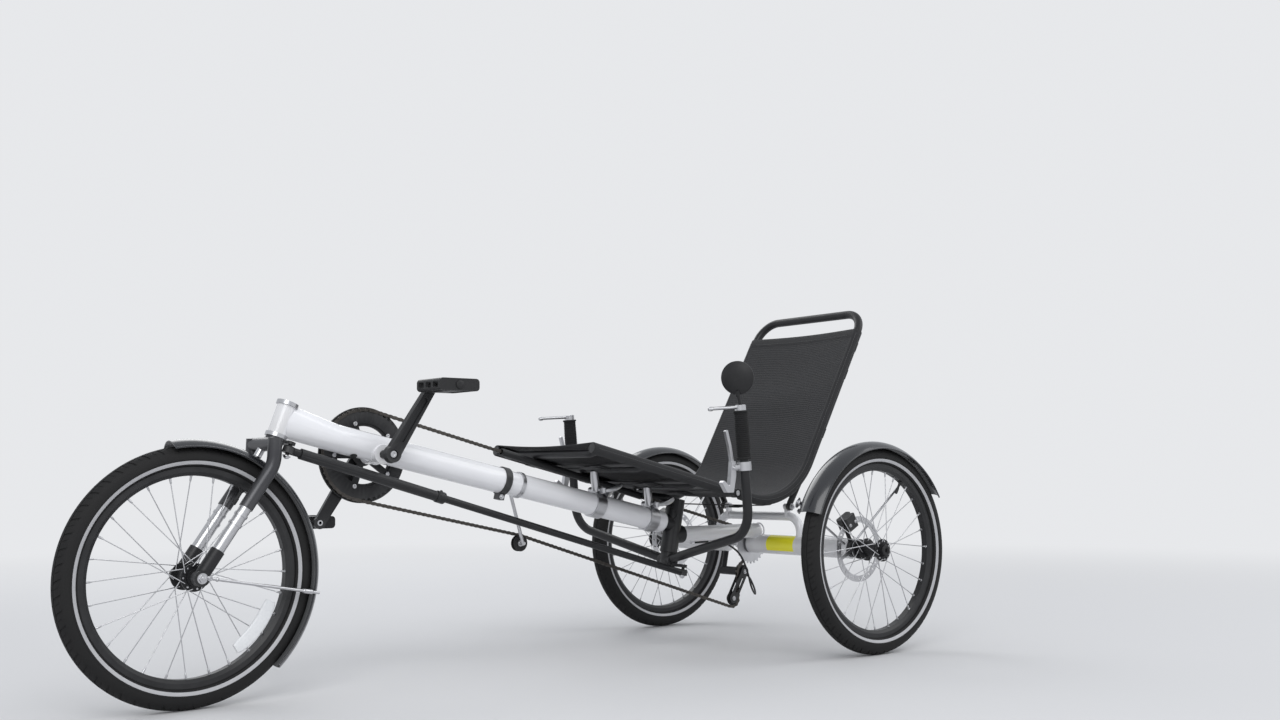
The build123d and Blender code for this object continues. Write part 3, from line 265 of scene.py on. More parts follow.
def swept(points, radius, steps, closed=False):
    """A round bar along points. radius is one number, or one for each point."""
    radii = [radius] * len(points) if isinstance(radius, float) else radius
    rows, side = [], None
    for k, point in enumerate(points):
        before = points[k - 1] if closed or k else point
        after = points[(k + 1) % len(points)] if closed or k < len(points) - 1 else point
        way = (after - before).normalized()
        side = square_to(way)[0] if side is None else (side - way * side.dot(way)).normalized()
        rows.append([point + out * radii[k] for out in circled(side, way.cross(side), steps)])
    return skinned(rows, closed)


def raised(outline, place, along, up, low, high):
    """A plate: outline's (along, up) points, from low to high in the direction square to both."""
    through = along.cross(up)
    return skinned([[place + along * u + up * v + through * h for u, v in outline] for h in (low, high)])


def rounded(width, height, corner, steps=5):
    """The outline of a rectangle with round corners, about its middle."""
    points = []
    for k, (u, v) in enumerate(((1, 1), (-1, 1), (-1, -1), (1, -1))):
        for step in range(steps + 1):
            turn = pi / 2 * (k + step / steps)
            points.append((
                u * (width / 2 - corner) + corner * cos(turn), v * (height / 2 - corner) + corner * sin(turn)
            ))
    return points


def add_piece(name, parts, body, slot, looks=None, sharp=35, of_face=None):
    """One piece of several forms, which rides on a body. It looks as its slot does unless looks are given."""
    vertices, faces = [], []
    for more_vertices, more_faces in parts:
        first = len(vertices)
        vertices += more_vertices
        faces += [tuple(first + k for k in face) for face in more_faces]
    mesh = bpy.data.meshes.new(name)
    mesh.from_pydata(vertices, [], faces)
    made = bmesh.new()
    made.from_mesh(mesh)
    bmesh.ops.recalc_face_normals(made, faces=made.faces)
    made.to_mesh(mesh)
    made.free()
    for look in looks or (slot,):
        mesh.materials.append(MATERIALS[look])
    if of_face:
        mesh.polygons.foreach_set("material_index", of_face)
    mesh.shade_smooth()
    mesh.set_sharp_from_angle(angle=radians(sharp))
    piece = bpy.data.objects.new(name, mesh)
    bpy.context.scene.collection.objects.link(piece)
    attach(piece, body)
    return piece


# Small forms that several pieces use
def cap_screw(place, way, radius, height):
    """The head of a socket screw on its washer."""
    socket = radius * 0.52
    return turned(place, way, (
        (-0.0006, radius * 1.45), (0.0007, radius * 1.45), (0.0009, radius * 1.38), (0.0009, radius),
        (height - 0.0006, radius), (height, radius - 0.0006), (height, socket, "hex"),
        (height * 0.4, socket, "hex"),
    ))


def hex_nut(place, way, radius, height, stud=0.0025):
    """A nut on its washer, with the end of its bolt."""
    return turned(place, way, (
        (-0.0006, radius * 1.3), (0.0008, radius * 1.3), (0.0010, radius * 1.2), (0.0010, radius, "hex"),
        (height, radius, "hex"), (height + 0.0002, radius * 0.52), (height + stud, radius * 0.5),
        (height + stud + 0.0004, radius * 0.4),
    ))


def capsule(start, end, radius):
    """A rod end: a round bar with domed ends."""
    length = (end - start).length
    dome = [(radius * (1 - cos(a)), radius * sin(a)) for a in (0.25, 0.6, 1.0, 1.3, pi / 2)]
    return turned(start, end - start, dome + [(length - along, r) for along, r in reversed(dome)], 20)


def weld_bead(place, way, radius, onto, onto_way, onto_radius, thick):
    """The rippled bead where a tube that leaves place along way meets another tube."""
    way = way.normalized()
    across_way = way - onto_way * way.dot(onto_way)
    a = across_way.length_squared
    steps, ripples = 180, 30
    points, sizes = [], []
    for k, out in enumerate(circled(*square_to(way), steps)):
        edge = place + out * radius
        off = (edge - onto) - onto_way * (edge - onto).dot(onto_way)
        b = off.dot(across_way)
        rest = max(b * b - a * (off.length_squared - onto_radius**2), 0)
        points.append(edge + way * ((sqrt(rest) - b) / a))
        sizes.append(thick * (1 + 0.13 * sin(2 * pi * k * ripples / steps)))
    return swept(points, sizes, 8, closed=True)


# Tyres: tread blocks, side walls with a reflective stripe, and the bead in the rim.
# Rows are degrees from the crown round the tyre's section. Columns are shares of the tread's repeat.
TREAD_REPEATS = 54
TREAD_COLUMNS = (0, 0.02, 0.13, 0.15, 0.38, 0.58, 0.60, 0.66, 0.68, 0.84)
TREAD_ROWS = (0, 8, 15, 15.6, 19.4, 20, 27, 35, 42, 50, 54, 58)
WALL_ROWS = (66, 76, 88, 95.5, 96.5, 98.5, 99.5, 104.5, 105, 111, 117, 123, 123.5, 127, 131)
STRIPE_ROWS = (105, 123)
BEAD = ((0.0160, 0.2101), (0.0138, 0.2095), (0.0116, 0.2095), (0.0106, 0.2085), (0.0106, 0.2040))
GROOVE, SIPE = 0.0016, 0.0009


def tread_depth(row, column):
    """How deep the tread is cut at a row and a column."""
    if 15.6 <= row <= 19.4:
        return GROOVE
    if row >= 20 and 0.02 <= column <= 0.13:
        return GROOVE if row <= 50 else (SIPE if row <= 54 else 0.0)
    if (row <= 15 or 27 <= row <= 42) and 0.60 <= column <= 0.66:
        return SIPE
    return 0.0


def tread_slant(row):
    """How far round the tyre a row's columns are shifted, in repeats."""
    return 0.007 * min(max(abs(row) - 20, 0), 38) + (0.3 if row < 0 else 0)


def in_stripe(row):
    return STRIPE_ROWS[0] <= abs(row) <= STRIPE_ROWS[1]


def wall_rise(row):
    """A low ring moulded on the side wall, and the stripe's own thickness."""
    if 96.5 <= abs(row) <= 98.5:
        return 0.0005
    return 0.0002 if in_stripe(row) else 0.0


def add_tyre(name):
    half = TYRE_WIDTH / 2
    rows = [-row for row in reversed(TREAD_ROWS[1:] + WALL_ROWS)] + list(TREAD_ROWS + WALL_ROWS)
    lines = []
    for repeat in range(TREAD_REPEATS):
        for column in TREAD_COLUMNS:
            line = [(-y, r, tread_slant(rows[0])) for y, r in reversed(BEAD)]
            for row in rows:
                height = half - tread_depth(abs(row), column) + wall_rise(row) - 0.0002
                lean = radians(row)
                line.append((height * sin(lean), WHEEL_RADIUS - half + height * cos(lean), tread_slant(row)))
            line += [(y, r, tread_slant(rows[-1])) for y, r in BEAD]
            lines.append([
                WHEELS[name] + around(360 * (repeat + column + slant) / TREAD_REPEATS) * r + ACROSS * y
                for y, r, slant in line
            ])
    beads = [0] * len(BEAD)
    stripes = beads + [int(in_stripe(a) and in_stripe(b)) for a, b in zip(rows, rows[1:])] + [0] + beads
    form, looks = skinned(lines, closed=True), ("tyre", "stripe")
    tyre = add_piece(f"{name}_tyre_tread", [form], f"{name}_wheel", "tyre", looks, 40, stripes * len(lines))
    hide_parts(f"{name}_tyre")


# Spoke nipples and heads, laced as on the CAD wheel, and the valve
SPOKES = 28
SPOKE_LEAN = 51.43
FLANGE_RADIUS, RIM_INNER = 0.022, 0.192
NIPPLE = (
    (-0.002, 0.0030), (0.0005, 0.0030), (0.0012, 0.0022), (0.0070, 0.0021), (0.0105, 0.0016), (0.0110, 0.0012)
)
SPOKE_HEAD = (
    (-0.0058, 0.0009), (-0.0056, 0.0019), (-0.0050, 0.0021), (-0.0044, 0.0012), (0.0009, 0.0011),
    (0.0012, 0.0007),
)
VALVE = (
    (-0.002, 0.0055), (0.0010, 0.0055), (0.0016, 0.0048), (0.0040, 0.0044), (0.0046, 0.0031),
    (0.0180, 0.0030), (0.0185, 0.0038), (0.0300, 0.0036), (0.0325, 0.0030), (0.0330, 0.0018),
)


def spoke_ends(name, k, flange, lean):
    """A spoke's two ends, at the hub and at the rim. flange and lean are 1 or -1."""
    flange_y = flange * (0.026 if name == "front" else 0.024)
    outside = flange * 0.0018 if lean == flange else 0
    turn = 360 * (k + (0.5 if flange < 0 else 0)) / (SPOKES // 2)
    root = around(turn) * FLANGE_RADIUS + ACROSS * (flange_y + lean * 0.00255 + outside)
    tip = around(turn + lean * SPOKE_LEAN) * (RIM_INNER - 0.0003) + ACROSS * (flange * 0.003 + lean * 0.0012)
    return WHEELS[name] + root, WHEELS[name] + tip


def add_wheel_trim(name):
    body = f"{name}_wheel"
    nipples, heads = [], []
    for flange in (1, -1):
        for k in range(SPOKES // 2):
            lean = 1 if k % 2 else -1
            root, tip = spoke_ends(name, k, flange, lean)
            nipples.append(turned(tip, root - tip, NIPPLE, 12))
            heads.append(turned(root, ACROSS * lean, SPOKE_HEAD, 12))
    add_piece(f"{name}_spoke_nipples", nipples, body, "steel")
    add_piece(f"{name}_spoke_heads", heads, body, "steel")
    out = around(360 * 9.5 / SPOKES)
    add_piece(f"{name}_valve", [turned(WHEELS[name] + out * RIM_INNER, -out, VALVE, 20)], body, "plastic")


for wheel_name in WHEELS:
    add_tyre(wheel_name)
    add_wheel_trim(wheel_name)

# Outer end of each rear hub, and the disc rotor's bolts
ROTOR_Y = 0.051
HUB_CAP = (
    (-0.0006, 0.0135), (0.0022, 0.0135), (0.0034, 0.0126), (0.0040, 0.0112), (0.0040, 0.0078),
    (0.0026, 0.0074), (0.0026, 0.0052, "hex"), (0.0001, 0.0052, "hex"),
)
for side, sign in SIDES:
    hub, out = WHEELS[side], ACROSS * sign
    add_piece(f"{side}_hub_cap", [turned(hub + out * 0.0329, out, HUB_CAP, 36)], f"{side}_wheel", "plastic")
    inner = hub - out * (ROTOR_Y + 0.001)
    bolts = [cap_screw(inner + around(a) * 0.0185, -out, 0.0026, 0.0022) for a in range(30, 390, 60)]
    add_piece(f"{side}_rotor_bolts", bolts, f"{side}_wheel", "steel")


# White reflector on the front wheel's left spokes
def add_spoke_reflector():
    start, end, steps = 199, 238, 24
    rows = []
    for k in range(steps + 1):
        share = k / steps
        slim = 1 - 0.35 * abs(2 * share - 1) ** 6
        out = around(start + (end - start) * share)
        rows.append([
            WHEELS["front"] + out * (0.1690 + u * slim) + ACROSS * (0.0105 + v)
            for u, v in rounded(0.027, 0.008, 0.003, 3)
        ])
    add_piece("spoke_reflector", [skinned(rows)], "front_wheel", "reflector", sharp=50)


add_spoke_reflector()

# Lines and points of the frame that small pieces sit on
REAR_X, FRONT_X, WHEEL_Y = AXLE.x, WHEELS["front"].x, WHEELS["left"].y
HEAD_UP, PIVOT_UP = around(90 + 20), around(90 + 12)
PIVOT = Vector((REAR_X + 0.310, 0, 0.290))
HEAD_TOP = Vector((FRONT_X - 0.195, 0, 0.588))
HEAD_LOW = HEAD_TOP - HEAD_UP * 0.076
BOOM_REAR = Vector((REAR_X + 0.828, 0, 0.426))
BOOM_WAY = (HEAD_TOP - HEAD_UP * 0.038 - UP * 0.0087 - BOOM_REAR).normalized()
BOOM_UP = above(BOOM_WAY)
BOOM_RADIUS, MAIN_RADIUS, BEAM_RADIUS, REAR_TUBE_RADIUS = 0.029, 0.027, 0.025, 0.019
CRANK = middle("chainring")
CRANK.y = 0
CLAMP_XS = (REAR_X + 0.553, REAR_X + 0.386)


def boom_at(x):
    """The point of the main tube's and the boom's axis at x."""
    return BOOM_REAR + BOOM_WAY * ((x - BOOM_REAR.x) / BOOM_WAY.x)


def pivot_at(z):
    """The point of the steering pivot's axis at z."""
    return PIVOT + PIVOT_UP * ((z - PIVOT.z) / PIVOT_UP.z)


# Chain of outer and inner links, along the line of the CAD chain. Its wheels are (x, z, radius),
# with a negative radius for a wheel outside the loop.
CHAIN_Y, PITCH = -0.052, 0.0127
CHAIN_WHEELS = (
    (CRANK.x, CRANK.z, 48 * PITCH / (2 * pi)),
    (REAR_X, WHEEL_RADIUS, 17 * PITCH / (2 * pi)),
    (REAR_X + 0.010, WHEEL_RADIUS - 0.076, -11 * PITCH / (2 * pi)),
    (REAR_X + 0.052, WHEEL_RADIUS - 0.144, 11 * PITCH / (2 * pi)),
    (REAR_X + 0.737, 0.279, -0.018),
)
PLATES = ((0.0017, 0.00245), (0.00255, 0.0033))
ROLLER = ((-0.0016, 0.0036), (0.0016, 0.0036))
PIN = ((-0.0036, 0.0011), (-0.0034, 0.0017), (0.0034, 0.0017), (0.0036, 0.0011))


def chain_route():
    """The chain's closed line as close points, with the length from its start to the chainring's front."""
    arrive, leave = [], []
    for (x1, z1, r1), (x2, z2, r2) in zip(CHAIN_WHEELS, CHAIN_WHEELS[1:] + CHAIN_WHEELS[:1]):
        here, there = Vector((x1, 0, z1)), Vector((x2, 0, z2))
        way = there - here
        normal = above(around(degrees(atan2(way.z, way.x) + asin((r1 - r2) / way.length))))
        leave.append(here - normal * r1)
        arrive.append(there - normal * r2)
    arrive = arrive[-1:] + arrive[:-1]
    points, to_front = [], 0
    for k, (x, z, r) in enumerate(CHAIN_WHEELS):
        centre = Vector((x, CHAIN_Y, z))
        first, last = arrive[k] - centre, leave[k] - centre
        start = atan2(first.z, first.x)
        sweep = (atan2(last.z, last.x) - start) % (2 * pi)
        if r < 0:
            sweep -= 2 * pi
        if k == 0:
            to_front = -start * r
        steps = max(2, int(abs(degrees(sweep))))
        turns = [degrees(start + sweep * step / steps) for step in range(steps + 1)]
        points += [centre + around(turn) * abs(r) for turn in turns]
    return points, to_front


def chain_pins():
    """Points one pitch apart along the chain's line, which fall between the chainring's teeth."""
    points, to_front = chain_route()
    spans = [(a, b, (b - a).length) for a, b in zip(points, points[1:] + points[:1])]
    total = sum(length for a, b, length in spans)
    count = 2 * round(total / PITCH / 2)
    pins, span, before = [], 0, 0.0
    for k in range(count):
        along = to_front % (total / count) + k * total / count
        while span < len(spans) - 1 and along > before + spans[span][2]:
            before += spans[span][2]
            span += 1
        a, b, length = spans[span]
        pins.append(a + (b - a) * ((along - before) / length))
    return pins


def link_outline(length):
    """A link plate's outline, round at both pins and narrower between them."""
    end, waist = 0.0040, 0.0029
    points = []
    for first, u, side in ((90, 0, -waist), (-90, length, waist)):
        outs = [around(turn) * end for turn in range(first, first + 181, 30)]
        points += [(u + out.x, out.z) for out in outs] + [(length / 2, side)]
    return points


def add_chain():
    pins = chain_pins()
    plates, rollers = [], []
    for k, (here, there) in enumerate(zip(pins, pins[1:] + pins[:1])):
        along = (there - here).normalized()
        low, high = PLATES[k % 2]
        outline = link_outline((there - here).length)
        for a, b in ((low, high), (-high, -low)):
            plates.append(raised(outline, here, along, along.cross(ACROSS), a, b))
        rollers += [turned(here, ACROSS, ROLLER, 12), turned(here, ACROSS, PIN, 8)]
    chain = add_piece("chain_links", plates, "frame", "chain_steel")
    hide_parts("chain")
    add_piece("chain_pins_and_rollers", rollers, "frame", "chain_steel")


add_chain()

# Bolts of the crank, chainring, pedals, derailleur and idler
CRANK_LENGTH, CRANK_TURN = 0.170, 123
CRANK_BOLT = (
    (0, 0.0078), (0.0018, 0.0078), (0.0026, 0.0070), (0.0026, 0.0042, "hex"), (0.0004, 0.0042, "hex")
)
PEDAL_FLATS = (
    (0, 0.0098), (0.0014, 0.0098), (0.0018, 0.0088, "hex"), (0.0098, 0.0088, "hex"), (0.0108, 0.0078),
    (0.0126, 0.0078),
)
PEDAL_SOCKET = ((0, 0.0066), (0.0012, 0.0060), (0.0012, 0.0036, "hex"), (0.0002, 0.0036, "hex"))
PEDAL_CAP = ((0, 0.0095), (0.0022, 0.0090), (0.0034, 0.0070), (0.0038, 0.0030))


def ring_bolt(place, way, radius):
    """The flat head of a chainring bolt."""
    return turned(place, way, (
        (0, radius), (0.0012, radius - 0.0002), (0.0016, radius - 0.0008), (0.0016, 0.0024, "hex"),
        (0.0004, 0.0024, "hex"),
    ))


def add_drive_bolts():
    crank, pedals = [], {}
    for side, sign in SIDES:
        out = ACROSS * sign
        pedal = CRANK + around(CRANK_TURN) * (sign * CRANK_LENGTH)
        crank += [
            turned(CRANK + out * 0.0748, out, CRANK_BOLT),
            turned(pedal + out * 0.0788, out, PEDAL_FLATS),
            turned(pedal + out * 0.0662, -out, PEDAL_SOCKET),
        ]
        pedals[side] = turned(pedal + out * 0.1838, out, PEDAL_CAP)
    add_piece("crank_bolts", crank, "crank", "steel")
    for side, cap in pedals.items():
        add_piece(f"{side}_pedal_cap", [cap], f"{side}_pedal", "plastic")
    ring = []
    for k in range(5):
        place = CRANK + around(72 * k) * 0.0700
        ring.append(ring_bolt(place - ACROSS * 0.0508, ACROSS, 0.0048))
        ring.append(ring_bolt(place - ACROSS * 0.0604, -ACROSS, 0.0050))
    add_piece("chainring_bolts", ring, "crank", "steel")
    (upper_x, upper_z, _), (lower_x, lower_z, _), (idler_x, idler_z, _) = CHAIN_WHEELS[2:]
    outer_y, inner_y = CHAIN_Y + 0.0075, CHAIN_Y - 0.0075
    drive = [
        cap_screw((upper_x, outer_y, upper_z), ACROSS, 0.0040, 0.0036),
        cap_screw((lower_x, outer_y, lower_z), ACROSS, 0.0040, 0.0036),
        cap_screw((lower_x, inner_y, lower_z), -ACROSS, 0.0040, 0.0036),
        hex_nut((idler_x, CHAIN_Y + 0.0060, idler_z), ACROSS, 0.0056, 0.0042),
        cap_screw(boom_at(idler_x + 0.0405) + Vector((0, -0.040, -0.008)), -ACROSS, 0.0040, 0.0040),
    ]
    add_piece("drive_bolts", drive, "frame", "steel")


add_drive_bolts()

# Seat: mesh slings stretched over the rails, with hems, stitches and tightening straps
RAIL_Y, RAIL_RADIUS, RAIL_BEND = 0.190, 0.011, 0.190
HINGE = Vector((REAR_X + 0.270, 0, 0.3896))
PAN_FRONT = Vector((REAR_X + 0.710, 0, 0.497))
PAN_WAY = (PAN_FRONT - HINGE).normalized()
PAN_UP = above(PAN_WAY)
BACK_WAY, BACK_FRONT = around(120), around(30)
BACK_START = HINGE - PAN_WAY * 0.006
BACK_CORNER = HINGE + PAN_WAY * ((REAR_X + 0.080 - HINGE.x) / PAN_WAY.x)
BACK_TURN = acos(-PAN_WAY.dot(BACK_WAY))
BACK_SETBACK = RAIL_BEND * tan(BACK_TURN / 2)
BEND_FROM = (BACK_START - BACK_CORNER).length - BACK_SETBACK
BEND_TO = BEND_FROM + RAIL_BEND * BACK_TURN
BACK_BRACE = BEND_TO - BACK_SETBACK + 0.330
BACK_END = BEND_TO - BACK_SETBACK + 0.543
WRAP = RAIL_RADIUS + 0.0013
CLOTH = 0.0014
HEM = 0.024
STITCH, STITCH_PITCH = 0.0045, 0.0065
WRAP_TURNS = (86, 78, 68, 56, 44, 30, 15, 0, -15, -30, -45, -60, -72, -80)
INNER_YS = (1, 0.985, 0.96, 0.93, 0.88, 0.8, 0.7, 0.58, 0.45, 0.3, 0.15)


def pan_line(along):
    """The point of the pan rails' axis at a length from the hinge, and the way its sling faces."""
    return HINGE + PAN_WAY * along, PAN_UP


def back_line(along):
    """The point of the back rails' axis at a length from the hinge end, and the way its sling faces."""
    if along < BEND_FROM:
        return BACK_START - PAN_WAY * along, PAN_UP
    if along < BEND_TO:
        centre = BACK_START - PAN_WAY * BEND_FROM + PAN_UP * RAIL_BEND
        lean = (along - BEND_FROM) / RAIL_BEND
        facing = PAN_UP * cos(lean) + PAN_WAY * sin(lean)
        return centre - facing * RAIL_BEND, facing
    return BACK_CORNER + BACK_WAY * (BACK_SETBACK + along - BEND_TO), BACK_FRONT


def pan_sag(along):
    """How far the pan's sling hangs under the rails' tops at its middle."""
    return 0.0065 * min(1, along / 0.06) + 0.0005


def back_sag(along):
    """How far the back's sling hangs, less over the brace and the crossbar near it."""
    return 0.0015 + 0.0060 * (1 - exp(-(((along - BACK_BRACE) / 0.06) ** 2))) * min(1, along / 0.08)


def sling_drop(share, sag):
    """How far the sling hangs at a share of the way from its middle to a rail."""
    return sag * (1 - share**2) ** 1.2


def sling_section(sag):
    """The sling's line from one rail's far side over both to the other's: (y, height, out y, out height)."""
    half = []
    for turn in reversed(WRAP_TURNS):
        c, s = cos(radians(turn)), sin(radians(turn))
        half.append((RAIL_Y + WRAP * c, WRAP * s, c, s))
    half += [(RAIL_Y * share, WRAP - sling_drop(share, sag), 0, 1) for share in INNER_YS]
    return half + [(0, WRAP - sag, 0, 1)] + [(-y, h, -out_y, out_h) for y, h, out_y, out_h in reversed(half)]


def add_sling(name, node, body, line, start, end, sag_at, strap_places):
    """A sling in place of a node, wrapped round the rails from start to end, with its stitches and straps."""
    middle_rows = max(8, round((end - start) / 0.012))
    rows = [start, start + 0.002, start + HEM - 0.001, start + HEM]
    rows += [start + HEM + (end - start - 2 * HEM) * k / middle_rows for k in range(1, middle_rows)]
    rows += [end - HEM, end - HEM + 0.001, end - 0.002, end]
    wide, wrapped = len(sling_section(0)), len(WRAP_TURNS)
    vertices = []
    for on_top in (True, False):
        for along in rows:
            place, facing = line(along)
            on_hem = min(along - start, end - along) < HEM - 0.0005
            for j, (y, height, out_y, out_h) in enumerate(sling_section(sag_at(along))):
                doubled = on_hem or min(j, wide - 1 - j) < wrapped
                lift = CLOTH * (0.85 if doubled else 0.5)
                if along in (start, end):
                    lift = CLOTH * 0.3
                if not on_top:
                    lift = -CLOTH * 0.5
                vertices.append(place + facing * (height + out_h * lift) + ACROSS * (y + out_y * lift))
    faces = sheet_faces(len(rows), wide)
    of_face = []
    for low, high in zip(rows, rows[1:]):
        in_hem = min(low - start, end - high) < HEM - 0.0009
        for j in range(wide - 1):
            of_face += [int(in_hem or min(j, wide - 2 - j) < wrapped + 1)] * 2
    of_face += [1] * (len(faces) - len(of_face))
    sling = add_piece(name, [(vertices, faces)], body, "mesh", ("mesh", "webbing"), 50, of_face)
    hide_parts(node)
    extras = [add_stitches(name, body, line, start, end, sag_at), *add_straps(name, body, line, strap_places)]


def stitched(point_at, first, last):
    """A row of stitches between two lengths of a line."""
    threads = []
    while first < last:
        threads.append(swept([point_at(first), point_at(first + STITCH)], 0.0005, 5))
        first += STITCH_PITCH
    return threads


def add_stitches(name, body, line, start, end, sag_at):
    """Two rows of thread beside each rail, and two along each end hem."""
    threads = []
    for sign in (1, -1):
        for turn in (50, 5):
            across, height = ((WRAP + CLOTH * 0.85) * part(radians(turn)) for part in (cos, sin))

            def beside_rail(along):
                place, facing = line(along)
                return place + facing * height + ACROSS * (sign * (RAIL_Y + across))

            threads += stitched(beside_rail, start + 0.006, end - 0.012)
    for along in (start + 0.005, start + HEM - 0.005, end - HEM + 0.005, end - 0.005):
        place, facing = line(along)

        def on_hem(y):
            level = WRAP - sling_drop(y / RAIL_Y, sag_at(along)) + CLOTH * 0.85
            return place + facing * level + ACROSS * y

        threads += stitched(on_hem, -RAIL_Y * 0.9, RAIL_Y * 0.9)
    return add_piece(f"{name}_stitches", threads, body, "mesh", ("thread",), 60)


def webbing(place, ahead, facing, line, width):
    """A flat strap across the seat: line has rows of (y, height, out y, out height)."""
    corners = [(shift * width / 2, rise * 0.0006) for shift, rise in ((-1, 1), (1, 1), (1, -1), (-1, -1))]
    return skinned([
        [
            place + ACROSS * (y + out_y * rise) + facing * (height + out_h * rise) + ahead * shift
            for shift, rise in corners
        ]
        for y, height, out_y, out_h in line
    ])


def add_straps(name, body, line, places):
    """Webbing straps behind the sling, from rim to rim, each with a ladder buckle."""
    webs, buckles = [], []
    reach = WRAP + CLOTH * 1.2
    around_rail = [(cos(radians(turn)), sin(radians(turn))) for turn in (-30, -45, -60, -75, -88)]
    path = [(RAIL_Y + reach * c, reach * s, c, s) for c, s in around_rail]
    path += [(y, -reach - 0.0012 * cos(y / RAIL_Y * 1.5), 0, -1) for y in (0.17, 0.12, 0.06, 0)]
    path += [(-y, height, -out_y, out_h) for y, height, out_y, out_h in reversed(path[:-1])]
    for number, along in enumerate(places):
        place, facing = line(along)
        ahead = (line(along + 0.001)[0] - place).normalized()
        webs.append(webbing(place, ahead, facing, path, 0.025))
        buckle_y = 0.085 if number % 2 else 0.094
        buckle = place + ACROSS * buckle_y - facing * (reach + 0.0042)
        rungs = ((-0.0160, 0.0034), (-0.0055, 0.0028), (0.0055, 0.0028), (0.0160, 0.0034))
        bars = [(ACROSS * y, wide, 0.036, 0.0018) for y, wide in rungs]
        bars += [(ahead * shift, 0.034, 0.0036, 0.0020) for shift in (-0.0165, 0.0165)]
        for off, wide, long, thick in bars:
            bar = rounded(wide, long, 0.0012, 3)
            buckles.append(raised(bar, buckle + off, ACROSS, ahead, -thick, thick))
        tail = [(buckle_y - 0.012 - 0.014 * k, -reach - 0.0045 - 0.0007 * k, 0, -1) for k in range(5)]
        webs.append(webbing(place, ahead, facing, tail, 0.0244))
    return [
        add_piece(f"{name}_straps", webs, body, "mesh", ("webbing",), 40),
        add_piece(f"{name}_buckles", buckles, body, "plastic", sharp=40),
    ]


add_sling(
    "pan_mesh", "pan_sling", "frame", pan_line, 0.0215, (PAN_FRONT - HINGE).length, pan_sag,
    (0.075, 0.172, 0.345),
)
add_sling(
    "back_mesh", "back_sling", "backrest", back_line, 0.001, BACK_END, back_sag,
    (0.10, 0.19, 0.38, 0.56, 0.645),
)


# Weld beads of the white frame and the black seat
def add_welds():
    rear_tube = Vector((REAR_X, 0, 0.285))
    white, seat, back = [], [], []
    for sign in (1, -1):
        out = ACROSS * sign
        arch_foot = Vector((REAR_X, sign * 0.150, WHEEL_RADIUS))
        white += [
            weld_bead(CRANK, out, 0.020, boom_at(CRANK.x), BOOM_WAY, BOOM_RADIUS, 0.0019),
            weld_bead(arch_foot, UP, 0.011, AXLE, ACROSS, BEAM_RADIUS, 0.0017),
        ]
    white.append(weld_bead(rear_tube, AHEAD, REAR_TUBE_RADIUS, AXLE, ACROSS, BEAM_RADIUS, 0.0019))
    add_piece("frame_welds", white, "frame", "white_gloss", sharp=60)
    pivot = weld_bead(pivot_at(0.332), BOOM_WAY, 0.020, PIVOT, PIVOT_UP, 0.022, 0.0018)
    add_piece("pivot_welds", [pivot], "frame", "black_satin", sharp=60)
    for x in (*CLAMP_XS, REAR_X + 0.690):
        for sign in (1, -1):
            rail = pan_line((x - HINGE.x) / PAN_WAY.x)[0] + ACROSS * (sign * RAIL_Y)
            way = ACROSS * (-sign * 0.030) - PAN_UP * 0.008
            seat.append(weld_bead(rail, way, 0.009, rail, PAN_WAY, RAIL_RADIUS, 0.0014))
    add_piece("seat_welds", seat, "frame", "black_satin", sharp=60)
    for sign in (1, -1):
        rail = back_line(BACK_BRACE)[0] + ACROSS * (sign * RAIL_Y)
        back.append(weld_bead(rail, ACROSS * -sign, 0.008, rail, BACK_WAY, RAIL_RADIUS, 0.0013))
    add_piece("backrest_welds", back, "backrest", "black_satin", sharp=60)


add_welds()


# Bolts and nuts that hold the frame's parts
def add_frame_bolts():
    clamp = BOOM_REAR - BOOM_WAY * 0.0083 - BOOM_UP * 0.0365
    bolts = [
        cap_screw(clamp + ACROSS * 0.010, ACROSS, 0.0042, 0.0044),
        hex_nut(clamp - ACROSS * 0.010, -ACROSS, 0.0052, 0.0042),
    ]
    hinges = []
    caliper_out = around(62)
    caliper_along = above(caliper_out)
    for sign in (1, -1):
        out = ACROSS * sign
        lug = Vector((REAR_X + 0.008, 0, 0.350))
        bolts.append(hex_nut(lug + out * 0.1300, out, 0.0062, 0.0050))
        bolts.append(cap_screw(lug + out * 0.1062, -out, 0.0058, 0.0040))
        rotor = AXLE + out * (WHEEL_Y - ROTOR_Y)
        for shift in (-0.013, 0.013):
            inner = rotor + caliper_out * 0.070 + caliper_along * shift - out * 0.0185
            outer = rotor + caliper_out * 0.072 + caliper_along * (shift * 0.8) + out * 0.0130
            bolts += [cap_screw(inner, -out, 0.0036, 0.0036), cap_screw(outer, out, 0.0030, 0.0030)]
        for face in (1, -1):
            place = HINGE + ACROSS * (sign * RAIL_Y + face * 0.0100)
            hinges.append(cap_screw(place, ACROSS * face, 0.0044, 0.0008))
    add_piece("frame_bolts", bolts, "frame", "steel")
    add_piece("seat_hinge_bolts", hinges, "frame", "steel")


add_frame_bolts()

# Quick-release levers of the two seat clamps. LEVER has rows of (x, y, z, half height) from the cam.
LEVER = (
    (0.002, 0.002, 0, 0.0050), (-0.010, 0.0055, 0.001, 0.0056), (-0.024, 0.0065, 0.003, 0.0062),
    (-0.038, 0.0045, 0.006, 0.0068), (-0.050, 0.0010, 0.010, 0.0064), (-0.058, -0.0010, 0.0135, 0.0042),
)
LEVER_HALF_THICK = 0.0021
SKEWER_NUT = ((0, 0.0075), (0.004, 0.0080), (0.0085, 0.0074), (0.0100, 0.0052), (0.0104, 0.0030))
CAM = ((0, 0.0052), (0.0010, 0.0060), (0.0120, 0.0060), (0.0130, 0.0052))


